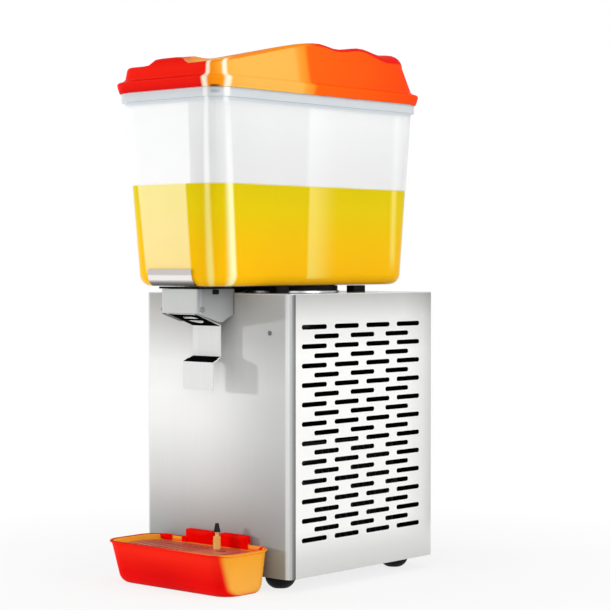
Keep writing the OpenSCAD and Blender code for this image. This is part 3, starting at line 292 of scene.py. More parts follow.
# Width, front, back and corner radius, above the bottom edge and at the lip
TANK_PLAN = (165.0, CAB_FRONT - 82, CAB_BACK + 21, 43.0)
LIP_PLAN = (182.0, CAB_FRONT - 90, CAB_BACK + 23.5, 26.0)
TANK_FILLET = 16.0
TANK_FOOT = TANK_Z + TANK_FILLET
TANK_WALL, TANK_FLOOR = 3.5, 4.0
HOLE_R, HOLE_EDGE = 59.0, 0.4
# Lip: distance out from its outline, height above the lid's seat
LIP_EDGE = [(-TANK_WALL, 5.4), (0.6 - TANK_WALL, 6.0), (-0.6, 6.0), (0, 5.4), (0, 0.6), (0.6, 0), (3.2, 0),
            (3.8, -0.3), (4.0, -1.0), (4.0, -6.0), (4.0, -10.6), (3.7, -11.6), (3.0, -12.0), (0.9, -12.0)]
LIP_UNDER = 14.5


def tank_loop(o, z):
    """Outline of the tank's wall at the height z, moved outwards by o."""
    if z >= TANK_FOOT:
        return outline(between(TANK_PLAN, LIP_PLAN, (z - TANK_FOOT) / (LIP_Z - TANK_FOOT)), o, z)
    r = TANK_FILLET + o
    s = min(1.0, (TANK_FOOT - z) / r)
    return outline(TANK_PLAN, o - r * (1 - math.sqrt(max(0.0, 1 - s * s))), z)


def round_hole(loop, r, z):
    """Circle about the dome's axis with one point for each point of loop."""
    pts = []
    for x, y, _ in loop:
        d = math.hypot(x, y - DOME_Y)
        pts.append((x / d * r, DOME_Y + (y - DOME_Y) / d * r, z))
    return pts


def wall_heights(low, high, o):
    """Heights up a wall: close together round the bottom edge."""
    turns = (90, 78, 66, 54, 42, 30, 18, 8)
    curve = [TANK_FOOT - (TANK_FILLET + o) * math.sin(math.radians(a)) for a in turns]
    return [z for z in curve if z > low] + [TANK_FOOT + (high - TANK_FOOT) * k / 8 for k in range(9)]


def build_tank():
    floor_z = TANK_Z + TANK_FLOOR
    floor_in = tank_loop(-TANK_WALL, floor_z)
    hole_foot = round_hole(floor_in, HOLE_R, TANK_Z + HOLE_EDGE)
    loops = [hole_foot, round_hole(floor_in, HOLE_R, floor_z - HOLE_EDGE),
             round_hole(floor_in, HOLE_R + HOLE_EDGE, floor_z), floor_in]
    loops += [tank_loop(-TANK_WALL, z) for z in wall_heights(floor_z, LIP_Z, -TANK_WALL)]
    loops += [outline(LIP_PLAN, o, LIP_Z + z) for o, z in LIP_EDGE]
    loops += [tank_loop(0, z) for z in reversed(wall_heights(TANK_Z, LIP_Z - LIP_UNDER, 0))]
    loops += [tank_loop(0, TANK_Z + 0.01), round_hole(floor_in, HOLE_R + HOLE_EDGE, TANK_Z), hole_foot]
    return make("tank_shell", skin(loops), sharp=40)


# Juice: fills the tank to its level, round the dome

JUICE_GAP = 0.9
# Hollow over the dome: radius, height above the tank's foot
DOME_HOLLOW = [(60.0, 124.0), (63.0, 122.0), (63.0, 4.3), (66.0, JUICE_GAP)]
# Surface, raised at the wall: distance in from the juice's outline, height above the level
SURFACE = [(0.0, -1.0), (0.1, 0.4), (0.9, 0.2), (3.0, -0.6), (9.0, -0.8)]
# Ends of the line on which the surface closes
SURFACE_FRONT, SURFACE_BACK = DOME_Y - 110, DOME_Y + 90


def build_juice():
    low = TANK_Z + JUICE_GAP
    heights = [z for z in wall_heights(low, JUICE_Z, -JUICE_GAP) if low < z < JUICE_Z + SURFACE[0][1]]
    bottom = tank_loop(-JUICE_GAP, low)
    loops = [at([(0.0, DOME_Y)] * len(bottom), TANK_Z + DOME_HOLLOW[0][1])]
    loops += [round_hole(bottom, r, TANK_Z + z) for r, z in DOME_HOLLOW] + [bottom]
    loops += [tank_loop(-JUICE_GAP, z) for z in heights]
    loops += [tank_loop(-JUICE_GAP - d, JUICE_Z + z) for d, z in SURFACE]
    loops.append([(0.0, clamp(y, SURFACE_FRONT, SURFACE_BACK), z) for _, y, z in loops[-1]])
    return make("juice", skin(loops), sharp=40)


# Drip tray: boat-shaped tub with a rolled rim, tabs, spacer ribs and grille bosses

TRAY_W, TRAY_R, TRAY_H = 218.0, 26.0, 56.0
TRAY_LOW, TRAY_BILGE = 0.5, 12.0
TRAY_WALL, TRAY_FLOOR, TRAY_COVE = 2.4, 2.9, 3.6
TRAY_MID_X, TRAY_MID_Y = 80, (TRAY_FRONT + TRAY_BACK) / 2
# How far sides, bow, back and corner radius draw in towards the foot: by the slope, by the bend at the foot
TRAY_DRAW = ((7, 6), (13, 8), (3.5, 4), (3, 2))
TRAY_HEIGHTS = [TRAY_LOW, 0.8, 1.4, 2.4, 4.0, 6.2, 9.0, 12.0, 16.0, 22.0, 29.0, 36.0, 43.0, 49.0, 53.0]
# Rolled rim: distance out from the wall, height
TRAY_BEAD = [(-TRAY_WALL, 55.2), (0.6 - TRAY_WALL, 56.2), (-0.6, 56.6), (1.2, 56.4), (2.1, 55.7), (2.4, 54.8),
             (2.0, 53.8), (0.9, 53.2), (0.2, 52.8)]
# Upright plates at the back: size, rear face behind the tray's back, and points per corner, foot and side
TAB_X, TAB_PITCH, TAB_W = 10.0, 31.5, 49.0
TAB = dict(z0=53.6, z1=68.0, r=4.0, rear=2.4, thick=3.0, bevel=0.7, points=(6, 4, 4))
SKIRT = dict(z0=50.4, z1=67.6, r=2.0, rear=-0.4, thick=3.4, bevel=0.7, points=(4, 4, 4))
RIB_W = 3.0
RIB = dict(z0=36.0, z1=56.0, r=0.6, rear=4.7, thick=2.4, bevel=0.3, points=(3, 2, 3))
LUGS = ((-80.0, 15.0), (-48.0, 11.0))
LUG = dict(z0=49.6, z1=57.4, r=1.6, rear=-1.0, thick=3.2, bevel=0.5, points=(4, 3, 3))
# Bosses under the grille: places, and radius by height
BOSS_X, BOSS_Y = (-79, 79), (TRAY_FRONT + 25, TRAY_BACK - 16)
BOSS = ((6.0, 2.4), (5.0, 3.4), (4.5, 5.0), (4.5, 45.8), (3.9, 46.4), (0.01, 46.4))
BOSS_POINTS = 24


def tray_loop(o, z):
    """Outline of the tray's outside at the height z, moved outwards by o."""
    t = clamp((TRAY_H - z) / (TRAY_H - TRAY_LOW))
    s = clamp((TRAY_BILGE - z) / (TRAY_BILGE - TRAY_LOW))
    bend = 1 - math.sqrt(1 - s * s)
    side, bow, back, corner = (a * t + b * bend for a, b in TRAY_DRAW)
    return at(rounded_loop(TRAY_W - 2 * side + 2 * o, TRAY_FRONT + bow - o, TRAY_BACK - back + o,
                           TRAY_R - corner + o, across=20, deep=8), z)


def tray_middle(loop, z):
    return [(clamp(x, -TRAY_MID_X, TRAY_MID_X), TRAY_MID_Y + 10, z) for x, _, _ in loop]


def tray_plate(x, w, z0, z1, r, rear, thick, bevel, points):
    loop = rounded_loop(w, z0, z1, r, *points)
    return block(loop, lambda u, v, d: (x + u, TRAY_BACK + rear - d, v), thick, bevel)


def build_tray():
    floor_in = tray_loop(-TRAY_WALL - 3, TRAY_FLOOR)
    loops = [tray_middle(floor_in, TRAY_FLOOR), floor_in, tray_loop(-TRAY_WALL - 0.6, TRAY_COVE)]
    loops += [tray_loop(-TRAY_WALL, z) for z in TRAY_HEIGHTS if z > TRAY_COVE]
    loops += [[(x, y, z) for x, y, _ in tray_loop(o, min(z, TRAY_H))] for o, z in TRAY_BEAD]
    loops += [tray_loop(0, z) for z in reversed(TRAY_HEIGHTS[:-1])]
    low = tray_loop(-4, TRAY_LOW)
    loops += [low, tray_middle(low, TRAY_LOW)]
    form = skin(loops)
    for x in (TAB_X - TAB_PITCH, TAB_X + TAB_PITCH):
        add(form, tray_plate(x, TAB_W, **TAB))
        add(form, tray_plate(x, TAB_W, **SKIRT))
        add(form, tray_plate(x, RIB_W, **RIB))
    for x, w in LUGS:
        add(form, tray_plate(x, w, **LUG))
    for x in BOSS_X:
        for y in BOSS_Y:
            rings = [[on_circle(x, y, r, 360 * k / BOSS_POINTS) for k in range(BOSS_POINTS)] for r, _ in BOSS]
            add(form, skin([at(ring, z) for ring, (_, z) in zip(rings, BOSS)]))
    return make("drip_tray_shell", form, sharp=40)


# Plunger spring: a coil, built here at one length; in the real tap it shortens as the lever lifts the
# plunger's collar

COIL_LOW, COIL_HIGH, COIL_R, WIRE_R = 358.6, 377.4, 4.1, 0.55
COIL_TURNS, TURN_STEPS, WIRE_SIDES = 6, 20, 10


def build_coil():
    steps = TURN_STEPS * COIL_TURNS
    rings = []
    for k in range(steps + 1):
        z = COIL_LOW + WIRE_R + (COIL_HIGH - COIL_LOW - 2 * WIRE_R) * k / steps
        ring = []
        for i in range(WIRE_SIDES):
            out, up = on_circle(COIL_R, z, WIRE_R, 360 * i / WIRE_SIDES)
            ring.append((*on_circle(0.0, VALVE_Y, out, 360 * k / TURN_STEPS), up))
        rings.append(ring)
    ends = [tuple(sum(c) / WIRE_SIDES for c in zip(*ring)) for ring in (rings[0], rings[-1])]
    return make("spring_coil", skin([[ends[0]] * WIRE_SIDES] + rings + [[ends[1]] * WIRE_SIDES]))


# Small black rubber pieces, put in as painted shade for gaps: a frame between tank and hood, a plug in the
# hood's cheek, a strip on the deck

SHADE_FRAME_W, SHADE_FRAME_Y0, SHADE_FRAME_Y1, SHADE_FRAME_R = 76.0, -180.0, -113.0, 9.0
SHADE_FRAME_LOW, SHADE_FRAME_HIGH = TANK_Z - 2.6, TANK_Z - 0.1
SHADE_FRAME_BORE, SHADE_FRAME_EDGE = 18.0, 0.5
CHEEK_SHADE_W, CHEEK_SHADE_Z0, CHEEK_SHADE_Z1, CHEEK_SHADE_R = 11.5, 377.6, 383.9, 2.0
CHEEK_SHADE_X, CHEEK_SHADE_Y, CHEEK_SHADE_THICK, CHEEK_SHADE_BEVEL = 36.0, -145.3, 1.3, 0.4
DECK_SHADE_W, DECK_SHADE_Y0, DECK_SHADE_Y1, DECK_SHADE_R = 9.0, -66.0, 120.0, 3.0
DECK_SHADE_X, DECK_SHADE_Z, DECK_SHADE_H, DECK_SHADE_BEVEL = -74.5, CAB_TOP - 0.1, 8.8, 0.8


def build_valve_shade():
    """A flat black rubber frame round the valve, held under the tank's floor: painted shade for the gap
    between tank and hood.
    """
    outer = rounded_loop(SHADE_FRAME_W, SHADE_FRAME_Y0, SHADE_FRAME_Y1, SHADE_FRAME_R)
    inset = rounded_loop(SHADE_FRAME_W - 2 * SHADE_FRAME_EDGE, SHADE_FRAME_Y0 + SHADE_FRAME_EDGE, SHADE_FRAME_Y1 - SHADE_FRAME_EDGE, SHADE_FRAME_R - SHADE_FRAME_EDGE)
    bore = [on_circle(0.0, VALVE_Y, SHADE_FRAME_BORE, math.degrees(math.atan2(y - VALVE_Y, x))) for x, y in outer]
    loops = [at(bore, SHADE_FRAME_HIGH), at(inset, SHADE_FRAME_HIGH), at(outer, SHADE_FRAME_HIGH - SHADE_FRAME_EDGE),
             at(outer, SHADE_FRAME_LOW + SHADE_FRAME_EDGE), at(inset, SHADE_FRAME_LOW), at(bore, SHADE_FRAME_LOW), at(bore, SHADE_FRAME_HIGH)]
    return make("tank_gap_shade", skin(loops))


# A black rubber plug in the hood's cheek: painted shade for the gap between hood and tank
def build_cheek_shade():
    loop = rounded_loop(CHEEK_SHADE_W, CHEEK_SHADE_Z0, CHEEK_SHADE_Z1, CHEEK_SHADE_R, corner=5, across=3, deep=2)
    return make("hood_gap_shade", block(loop, lambda u, v, d: (CHEEK_SHADE_X - d, CHEEK_SHADE_Y + u, v), CHEEK_SHADE_THICK, CHEEK_SHADE_BEVEL))


def build_deck_shade():
    """A black rubber strip on the deck, beside the left support pads: painted shade for the gap under the
    tank.
    """
    loop = rounded_loop(DECK_SHADE_W, DECK_SHADE_Y0, DECK_SHADE_Y1, DECK_SHADE_R, corner=5, across=3, deep=10)
    return make("deck_gap_shade", block(loop, lambda u, v, d: (DECK_SHADE_X + u, v, DECK_SHADE_Z + d), DECK_SHADE_H, DECK_SHADE_BEVEL))


# Black foam pads behind the left and rear vents: dark sheets put in as painted shade, so the vents show black

PAD_R, PAD_THICK, PAD_BEVEL = 6.0, 1.5, 0.4
# Width, foot and top
LEFT_PAD, REAR_PAD = (250, 46.0, 354.0), (170, 75.0, 276.0)
LEFT_PAD_X, LEFT_PAD_Y, REAR_PAD_Y = -129.4, 33.0, 178.1


def build_vent_shade(name, size, place):
    loop = rounded_loop(*size, PAD_R, corner=5, across=6, deep=6)
    return make(name, block(loop, place, PAD_THICK, PAD_BEVEL))


# Materials

# Range of a noise between its dark and its light places
WEAK, STRONG = 0.3, 0.7
# Stretch of brushing lines that run up, to the back, across, and round an upright axis
BRUSH_UP, BRUSH_BACK = (900.0, 900.0, 9.0), (900.0, 12.0, 900.0)
BRUSH_ACROSS, BRUSH_ROUND = (8.0, 900.0, 900.0), (10.0, 10.0, 600.0)
# Painted shade: near black for faces that look into the cabinet and for parts in shade under the hood
INSIDE_SHADE = (0.006, 0.006, 0.007)
# Painted highlights on the front right corner, and the painted shadow of the gap under the lid's rim, lie to
# the right of CORNER_X and in front of CORNER_Y, in metres. A mark is given by four directions, in degrees to
# the right: where it starts, is full, begins to fade, and ends.
CORNER_X, CORNER_Y = 0.03, -0.12
GAP_SHADOW = (25, 36, 42, 60)
LID_STREAKS = ((8, 16, 21, 28), (57, 67, 73, 82))
WALL_STREAK, LIP_STREAK, JUICE_STREAK = (62, 74, 80, 87), (58, 68, 74, 84), (60, 76, 80, 85)
LEAN_WALL, LEAN_JUICE = (-11, -2, 2, 9), (-11, -2, 2, 8)


def add_node(tree, kind, inputs=None, **props):
    """A node with its properties set, and its inputs set to values or joined to other nodes."""
    n = tree.nodes.new(kind)
    for key, value in props.items():
        setattr(n, key, value)
    for key, value in (inputs or {}).items():
        if hasattr(value, "is_output"):
            tree.links.new(value, n.inputs[key])
        else:
            n.inputs[key].default_value = value
    return n


def lin(hexa):
    """Linear colour of a hex code."""
    out = []
    for k in (0, 2, 4):
        c = int(hexa[k:k + 2], 16) / 255
        out.append(c / 12.92 if c <= 0.04045 else ((c + 0.055) / 1.055) ** 2.4)
    return tuple(out)


def grey(level):
    return (level,) * 3


class Shader:
    """A node material with a Principled surface and a few short helpers."""

    def __init__(self, name, **sockets):
        self.mat = bpy.data.materials.new(name)
        self.mat.use_nodes = True
        self.tree = self.mat.node_tree
        self.bsdf = self.tree.nodes["Principled BSDF"]
        for key, value in sockets.items():
            self.bsdf.inputs[key.replace("_", " ")].default_value = value
        self._coord = None

    def node(self, kind, inputs=None, **props):
        return add_node(self.tree, kind, inputs, **props)

    def link(self, socket, name):
        self.tree.links.new(socket, self.bsdf.inputs[name])

    def coord(self, which="Object"):
        if self._coord is None:
            self._coord = self.node("ShaderNodeTexCoord")
        return self._coord.outputs[which]

    def split(self, socket):
        return self.node("ShaderNodeSeparateXYZ", {"Vector": socket}).outputs

    def place(self):
        """x, y and z on the object, in metres."""
        return self.split(self.coord())

    def facing(self):
        """x, y and z of the direction that the surface faces."""
        return self.split(self.coord("Normal"))

    def turn(self):
        """Direction that the surface faces, in degrees from straight ahead towards the right."""
        nx, ny, _ = self.facing()
        return self.math("MULTIPLY", self.math("ARCTAN2", nx, self.math("MULTIPLY", ny, -1.0)), 180 / math.pi)

    def noise(self, scale, detail=3.0, stretch=None):
        vec = self.coord()
        if stretch:
            vec = self.node("ShaderNodeMapping", {"Vector": vec, "Scale": stretch}).outputs["Vector"]
        n = self.node("ShaderNodeTexNoise", {"Vector": vec, "Scale": scale, "Detail": detail})
        return n.outputs["Fac"]

    def math(self, op, a, b=0.0, clamp=False):
        return self.node("ShaderNodeMath", {0: a, 1: b}, operation=op, use_clamp=clamp).outputs[0]

    def over(self, value, limit):
        return self.math("GREATER_THAN", value, limit)

    def under(self, value, limit):
        return self.math("LESS_THAN", value, limit)

    def both(self, mask, *others):
        """Product of masks."""
        for other in others:
            mask = self.math("MULTIPLY", mask, other)
        return mask

    def either(self, a, b):
        return self.math("MAXIMUM", a, b)

    def span(self, value, a, b, lo=0.0, hi=1.0, soft=True):
        """lo to hi as value runs from a to b."""
        n = self.node("ShaderNodeMapRange",
                      {"Value": value, "From Min": a, "From Max": b, "To Min": lo, "To Max": hi},
                      interpolation_type="SMOOTHSTEP" if soft else "LINEAR")
        return n.outputs["Result"]

    def band(self, value, a, b, edge):
        """1 between a and b, with soft edges."""
        return self.both(self.span(value, a - edge, a + edge), self.span(value, b + edge, b - edge))

    def streak(self, turn, a, b, c, d):
        """1 from b to c, falling to 0 at a and d, on the front right corner only."""
        x, y, _ = self.place()
        return self.both(self.over(x, CORNER_X), self.under(y, CORNER_Y),
                         self.span(turn, a, b), self.span(turn, d, c))

    def leaning(self, turn):
        """turn, counted from the streak that leans round the tank's corner as it rises."""
        z = self.place()[2]
        return self.math("SUBTRACT", turn, self.span(z, 0.400, 0.610, 36.0, 17.0, soft=False))

    def ramp(self, fac, stops):
        n = self.node("ShaderNodeValToRGB", {"Fac": fac})
        bar = n.color_ramp.elements
        while len(bar) < len(stops):
            bar.new(0.5)
        for el, (pos, col) in zip(bar, stops):
            el.position = pos
            el.color = (*col, 1.0)
        return n.outputs["Color"]

    def along(self, value, stops, colour):
        a, b = stops[0][0], stops[-1][0]
        fac = self.span(value, a, b, soft=False)
        return self.ramp(fac, [((p - a) / (b - a), colour(c)) for p, c in stops])

    def tones(self, value, stops):
        """Hex colours set out along a coordinate in metres."""
        return self.along(value, stops, lin)

    def levels(self, value, stops):
        """Grey factors set out along a coordinate in metres."""
        return self.along(value, stops, grey)

    def mix(self, fac, a, b, blend="MIX"):
        """Mix of two sockets or linear colours."""
        a, b = (v if hasattr(v, "is_output") else (*v, 1.0) for v in (a, b))
        return self.node("ShaderNodeMix", {0: fac, 6: a, 7: b}, data_type="RGBA", blend_type=blend).outputs[2]

    def wander(self, fac, dark, light):
        """From dark to light with a noise."""
        return self.ramp(fac, [(WEAK, dark), (STRONG, light)])

    def varied(self, color, amount, scale, stretch=None):
        """Colour that wanders a little round color."""
        dark = tuple(c * (1 - amount) for c in color)
        light = tuple(min(1.0, c * (1 + amount)) for c in color)
        return self.wander(self.noise(scale, 4.0, stretch), dark, light)

    def flecked(self, tone, fac, low, weak=WEAK):
        """tone, down to low of itself where a noise is weak."""
        return self.mix(1.0, tone, self.ramp(fac, [(weak, low), (1 - weak, grey(1.0))]), "MULTIPLY")

    def rough(self, fac, low, high):
        """Roughness that wanders with a noise."""
        self.link(self.span(fac, WEAK, STRONG, low, high), "Roughness")

    def bump(self, height, strength, distance):
        n = self.node("ShaderNodeBump", {"Height": height, "Strength": strength, "Distance": distance})
        self.link(n.outputs["Normal"], "Normal")

    def brushed(self, lines, low, high, strength=0.12, depth=0.00002):
        self.rough(lines, low, high)
        self.bump(lines, strength, depth)

    def moulded(self, low, high, grain=900.0, depth=0.00004):
        self.rough(self.noise(60.0, 4.0), low, high)
        self.bump(self.noise(grain, 2.0), 0.25, depth)


def plastic(name, color, rough=0.35, amount=0.06, grain=900.0, depth=0.00004, coat=0.0, gloss=0.5):
    s = Shader(name, Coat_Weight=coat, Coat_Roughness=0.08, Specular_IOR_Level=gloss)
    s.link(s.varied(color, amount, 14.0), "Base Color")
    s.moulded(rough * 0.85, rough * 1.15, grain, depth)
    return s.mat


def knob_plastic():
    """Black moulding with a pale pointer line on its face."""
    s = Shader("knob_black")
    half, edge, start = 0.0009, 0.0002, 0.0060
    x, y, z = s.place()
    up = s.math("SUBTRACT", z, KNOB_Z * MM)
    along = s.math("MULTIPLY", s.math("ADD", x, up), -math.sqrt(0.5))
    across = s.math("MULTIPLY", s.math("SUBTRACT", x, up), math.sqrt(0.5))
    line = s.both(s.band(across, -half, half, edge), s.span(along, start, start + 2 * edge),
                  s.over(y, (CAB_BACK + KNOB_CAP) * MM))
    s.link(s.mix(line, s.varied((0.014, 0.014, 0.015), 0.15, 14.0), lin("D8D8D4")), "Base Color")
    s.moulded(0.27, 0.37)
    return s.mat


def split_plastic(name, axis, at_mm, below, above):
    """Moulded part in two colours, changing at a height or depth; here the dark side is painted shade, near
    black.
    """
    s = Shader(name, Specular_IOR_Level=0.2)
    tone = s.mix(s.over(s.place()[axis], at_mm * MM), below, above)
    s.link(s.flecked(tone, s.noise(14.0, 4.0), grey(0.93)), "Base Color")
    s.moulded(0.36, 0.48)
    return s.mat


def metal(name, color, rough=0.35, metallic=0.8, amount=0.05, brush=None):
    """Sheet metal; brush is the stretch of the brushing lines."""
    s = Shader(name, Metallic=metallic)
    s.link(s.varied(color, amount, 6.0, brush), "Base Color")
    s.brushed(s.noise(10.0, 5.0, brush or (60.0, 60.0, 60.0)), rough * 0.85, rough * 1.2, 0.15, 0.00003)
    return s.mat


def deck_steel():
    """Brushed sheet of the deck and rear panel, with painted shade, near black, on the faces that look into
    the cabinet.
    """
    s = Shader("deck_steel", Metallic=0.15, Specular_IOR_Level=0.3)
    y = s.place()[1]
    _, ny, nz = s.facing()
    lines = s.noise(1.0, 4.0, BRUSH_BACK)
    top = s.over(nz, 0.5)
    upright = s.wander(lines, lin("CCCDCC"), lin("D8D9D8"))
    tone = s.mix(top, upright, s.wander(lines, lin("B9C3D0"), lin("BEC8D5")))
    # Faces that look into the cabinet: painted shade
    rear_in = s.both(s.under(ny, -0.5), s.over(y, 0.10))
    deck_in = s.under(nz, -0.5)
    s.link(s.mix(s.either(rear_in, deck_in), tone, INSIDE_SHADE), "Base Color")
    grain = s.span(lines, WEAK, STRONG, 0.38, 0.48)
    s.link(s.both(grain, s.span(top, 0.0, 1.0, 1.0, 0.35)), "Roughness")
    s.bump(lines, 0.12, 0.00002)
    return s.mat


def front_steel():
    """Brushed panel with its light painted in: a painted reflection bright across the middle left, painted
    shade greyer at top, foot and right.

    Its folded edges, and the tap's hood in front of it, have tones of their own: painted highlights and shade
    on the folds, painted shade and dark reflection on the hood.
    """
    s = Shader("front_steel", Metallic=0.15)
    x, y, z = s.place()
    nx, _, nz = s.facing()
    # Painted light: a reflection bright across the middle left, shade towards the top, the foot and the right
    left = s.tones(z, [(0.016, "8A9694"), (0.060, "A2ACAA"), (0.100, "C2C4C3"), (0.126, "D4D6D5"),
                       (0.180, "EAECEB"), (0.207, "F4F5F4"), (0.247, "F9FAF9"), (0.287, "F1F2F1"),
                       (0.314, "DDDEDD"), (0.341, "C8C9C8"), (0.378, "ACAEAD")])
    right = s.tones(z, [(0.016, "8A9694"), (0.053, "9EA8A7"), (0.091, "A8AAA9"), (0.142, "B9BBBA"),
                        (0.193, "C7C9C8"), (0.257, "CDCFCE"), (0.295, "C1C3C2"), (0.320, "B5B7B6"),
                        (0.378, "B3B5B4")])
    tone = s.mix(s.span(x, -0.040, 0.122), left, right)
    # Folded edges: painted highlights where they turn, painted shade on the returns
    fold = s.math("ABSOLUTE", nx)
    folds = s.tones(z, [(0.016, "CCCECD"), (0.120, "DEE0DF"), (0.300, "E6E8E7"), (0.378, "CED0CF")])
    flank = s.tones(z, [(0.016, "6A6C6B"), (0.120, "7E807F"), (0.300, "868887"), (0.378, "686A69")])
    tone = s.mix(s.span(fold, 0.10, 0.35), tone, folds)
    tone = s.mix(s.span(fold, 0.60, 0.85), tone, s.mix(s.span(fold, 0.85, 0.97), lin("B2B4B3"), flank))
    # The hood: painted shade and dark reflection up its cheeks, painted shade near black underneath
    cheek = s.tones(z, [(0.340, "B4B6B6"), (0.355, "A2A6A8"), (0.384, "767C84")])
    hood = s.mix(s.span(fold, 0.3, 0.8), lin("CACCCA"), cheek)
    hood = s.mix(s.span(nz, -0.4, -0.7), hood, INSIDE_SHADE)
    tone = s.mix(s.span(y, -0.112, -0.114), tone, hood)
    lines = s.noise(1.0, 4.0, BRUSH_UP)
    s.link(s.flecked(tone, lines, grey(0.965)), "Base Color")
    s.brushed(lines, 0.40, 0.50)
    return s.mat


def side_steel():
    """Pale coated sheet, greyer near its top, foot and rear, with painted shade, near black, on its inner
    face.
    """
    s = Shader("side_steel", Specular_IOR_Level=0.3)
    x, y, z = s.place()
    outer = s.over(s.both(x, s.facing()[0]), 0.02)
    tone = s.tones(z, [(0.016, "D4D4D2"), (0.040, "DEDEDC"), (0.075, "F6F6F4"), (0.300, "F9F9F7"),
                       (0.345, "E6E6E4"), (0.378, "B8B8B6")])
    rear = s.levels(y, [(-0.108, 0.95), (-0.095, 1.0), (0.120, 1.0), (0.160, 0.84), (0.178, 0.66)])
    rear = s.mix(s.span(z, 0.080, 0.035), rear, grey(0.97))
    tone = s.flecked(s.mix(1.0, tone, rear, "MULTIPLY"), s.noise(40.0, 4.0), grey(0.985))
    # The inner face: painted shade
    s.link(s.mix(outer, INSIDE_SHADE, tone), "Base Color")
    s.rough(s.noise(120.0), 0.42, 0.52)
    s.bump(s.noise(700.0, 2.0), 0.1, 0.00003)
    return s.mat


def lever_steel():
    """Bent strip: pale upright plates, with the sloping bends between them painted near black as shade and
    dark reflection.
    """
    s = Shader("lever_steel", Specular_IOR_Level=0.0)
    nx, _, nz = s.facing()
    lines = s.noise(1.0, 4.0, (900.0, 900.0, 10.0))
    plate = s.wander(lines, lin("E2E3E2"), lin("EBECEB"))
    # The sloping bends: painted shade, near black
    bend = s.both(s.span(s.math("ABSOLUTE", nz), 0.12, 0.30), s.span(s.math("ABSOLUTE", nx), 0.4, 0.1))
    s.link(s.mix(bend, plate, grey(0.004)), "Base Color")
    s.link(s.span(bend, 0.0, 1.0, 0.25, 0.0), "Metallic")
    s.brushed(lines, 0.34, 0.44)
    return s.mat


def trim_silver():
    """Silver strip round the tank's lower edge: grey, then a painted bright reflection, then painted shade,
    near black, where it turns under.
    """
    s = Shader("trim_silver", Metallic=0.2)
    z = s.place()[2]
    tone = s.tones(z, [(0.3880, "080807"), (0.3905, "2C2B28"), (0.3935, "8E8B86"), (0.3965, "F2F0EE"),
                       (0.4015, "F0EEEC"), (0.4030, "CBC5C2"), (0.4105, "C9C2BF")])
    lines = s.noise(10.0, 5.0, BRUSH_ACROSS)
    s.link(s.flecked(tone, lines, grey(0.96)), "Base Color")
    s.brushed(lines, 0.28, 0.38, 0.15, 0.00003)
    return s.mat


def lid_plastic():
    """Orange-red moulding with its light painted in: red at the front as painted shade, pale orange then deep
    orange along the sides as painted light and reflection, pale inside as painted light.
    """
    s = Shader("lid_red", Coat_Weight=0.16, Coat_Roughness=0.05, IOR=1.5, Specular_IOR_Level=0.0)
    middle_y, middle_z = 0.0014, 0.625
    x, y, z = s.place()
    nx, ny, nz = s.facing()
    turn = s.turn()
    # Sides painted as lit: pale orange with a painted reflection towards the front, deep orange behind
    sides = s.tones(y, [(-0.212, "FF8A00"), (-0.194, "FF9806"), (-0.182, "FFB648"), (-0.150, "FFBC52"),
                        (-0.050, "FFB850"), (-0.042, "FFA234"), (-0.029, "FF9420"), (-0.021, "FF6200"),
                        (0.090, "FF5800"), (0.180, "FF4600"), (0.212, "EE2E00")])
    # The front's red, painted as in shade, changing with height
    red = s.tones(z, [(0.636, "DC0000"), (0.645, "EE1200"), (0.664, "F41A00"), (0.676, "EA0400"),
                      (0.684, "E00000")])
    # Top and crest: painted lighter or darker by the way they face the light
    top = s.mix(s.span(y, -0.035, 0.010), lin("F98A0A"), lin("EC1200"))
    crest = s.both(s.span(nz, 0.18, 0.40), s.span(z, 0.660, 0.668))
    col = s.mix(crest, sides, top)
    # The front, painted red as in shade: walls by their direction, the crown above them by its depth
    faces_front = s.span(s.math("ABSOLUTE", s.math("SUBTRACT", turn, -15.0)), 37.0, 29.0)
    crown = s.both(s.span(nz, 0.6, 0.8), s.span(z, 0.664, 0.670))
    front = s.mix(crown, faces_front, s.span(y, -0.168, -0.190))
    near = s.span(y, -0.160, -0.180)
    col = s.mix(s.both(front, near), col, red)
    glint = s.both(s.span(x, 0.010, 0.050), crown, near)
    col = s.mix(glint, col, lin("FBB84A"))
    # The front right corner: two painted highlight streaks, and the painted shadow of the gap under the rim
    shine = s.either(*(s.streak(turn, *mark) for mark in LID_STREAKS))
    shine = s.both(shine, s.math("SUBTRACT", 1.0, crown), 0.92)
    col = s.mix(shine, col, lin("FFF8DC"))
    gap_shadow = s.both(s.streak(turn, *GAP_SHADOW), s.span(z, 0.6402, 0.6378), 0.85)
    col = s.mix(gap_shadow, col, lin("3A2A18"))
    col = s.flecked(col, s.noise(9.0), grey(0.97), weak=0.25)
    # Faces that look inward: pale, as painted light inside the lid
    outward = s.math("ADD", s.both(x, nx), s.both(s.math("SUBTRACT", y, middle_y), ny))
    outward = s.math("ADD", outward, s.both(s.math("SUBTRACT", z, middle_z), nz))
    s.link(s.mix(s.under(outward, 0.0), col, lin("F6F0EA")), "Base Color")
    s.rough(s.noise(50.0), 0.26, 0.34)
    s.bump(s.noise(500.0, 2.0), 0.10, 0.00003)
    return s.mat


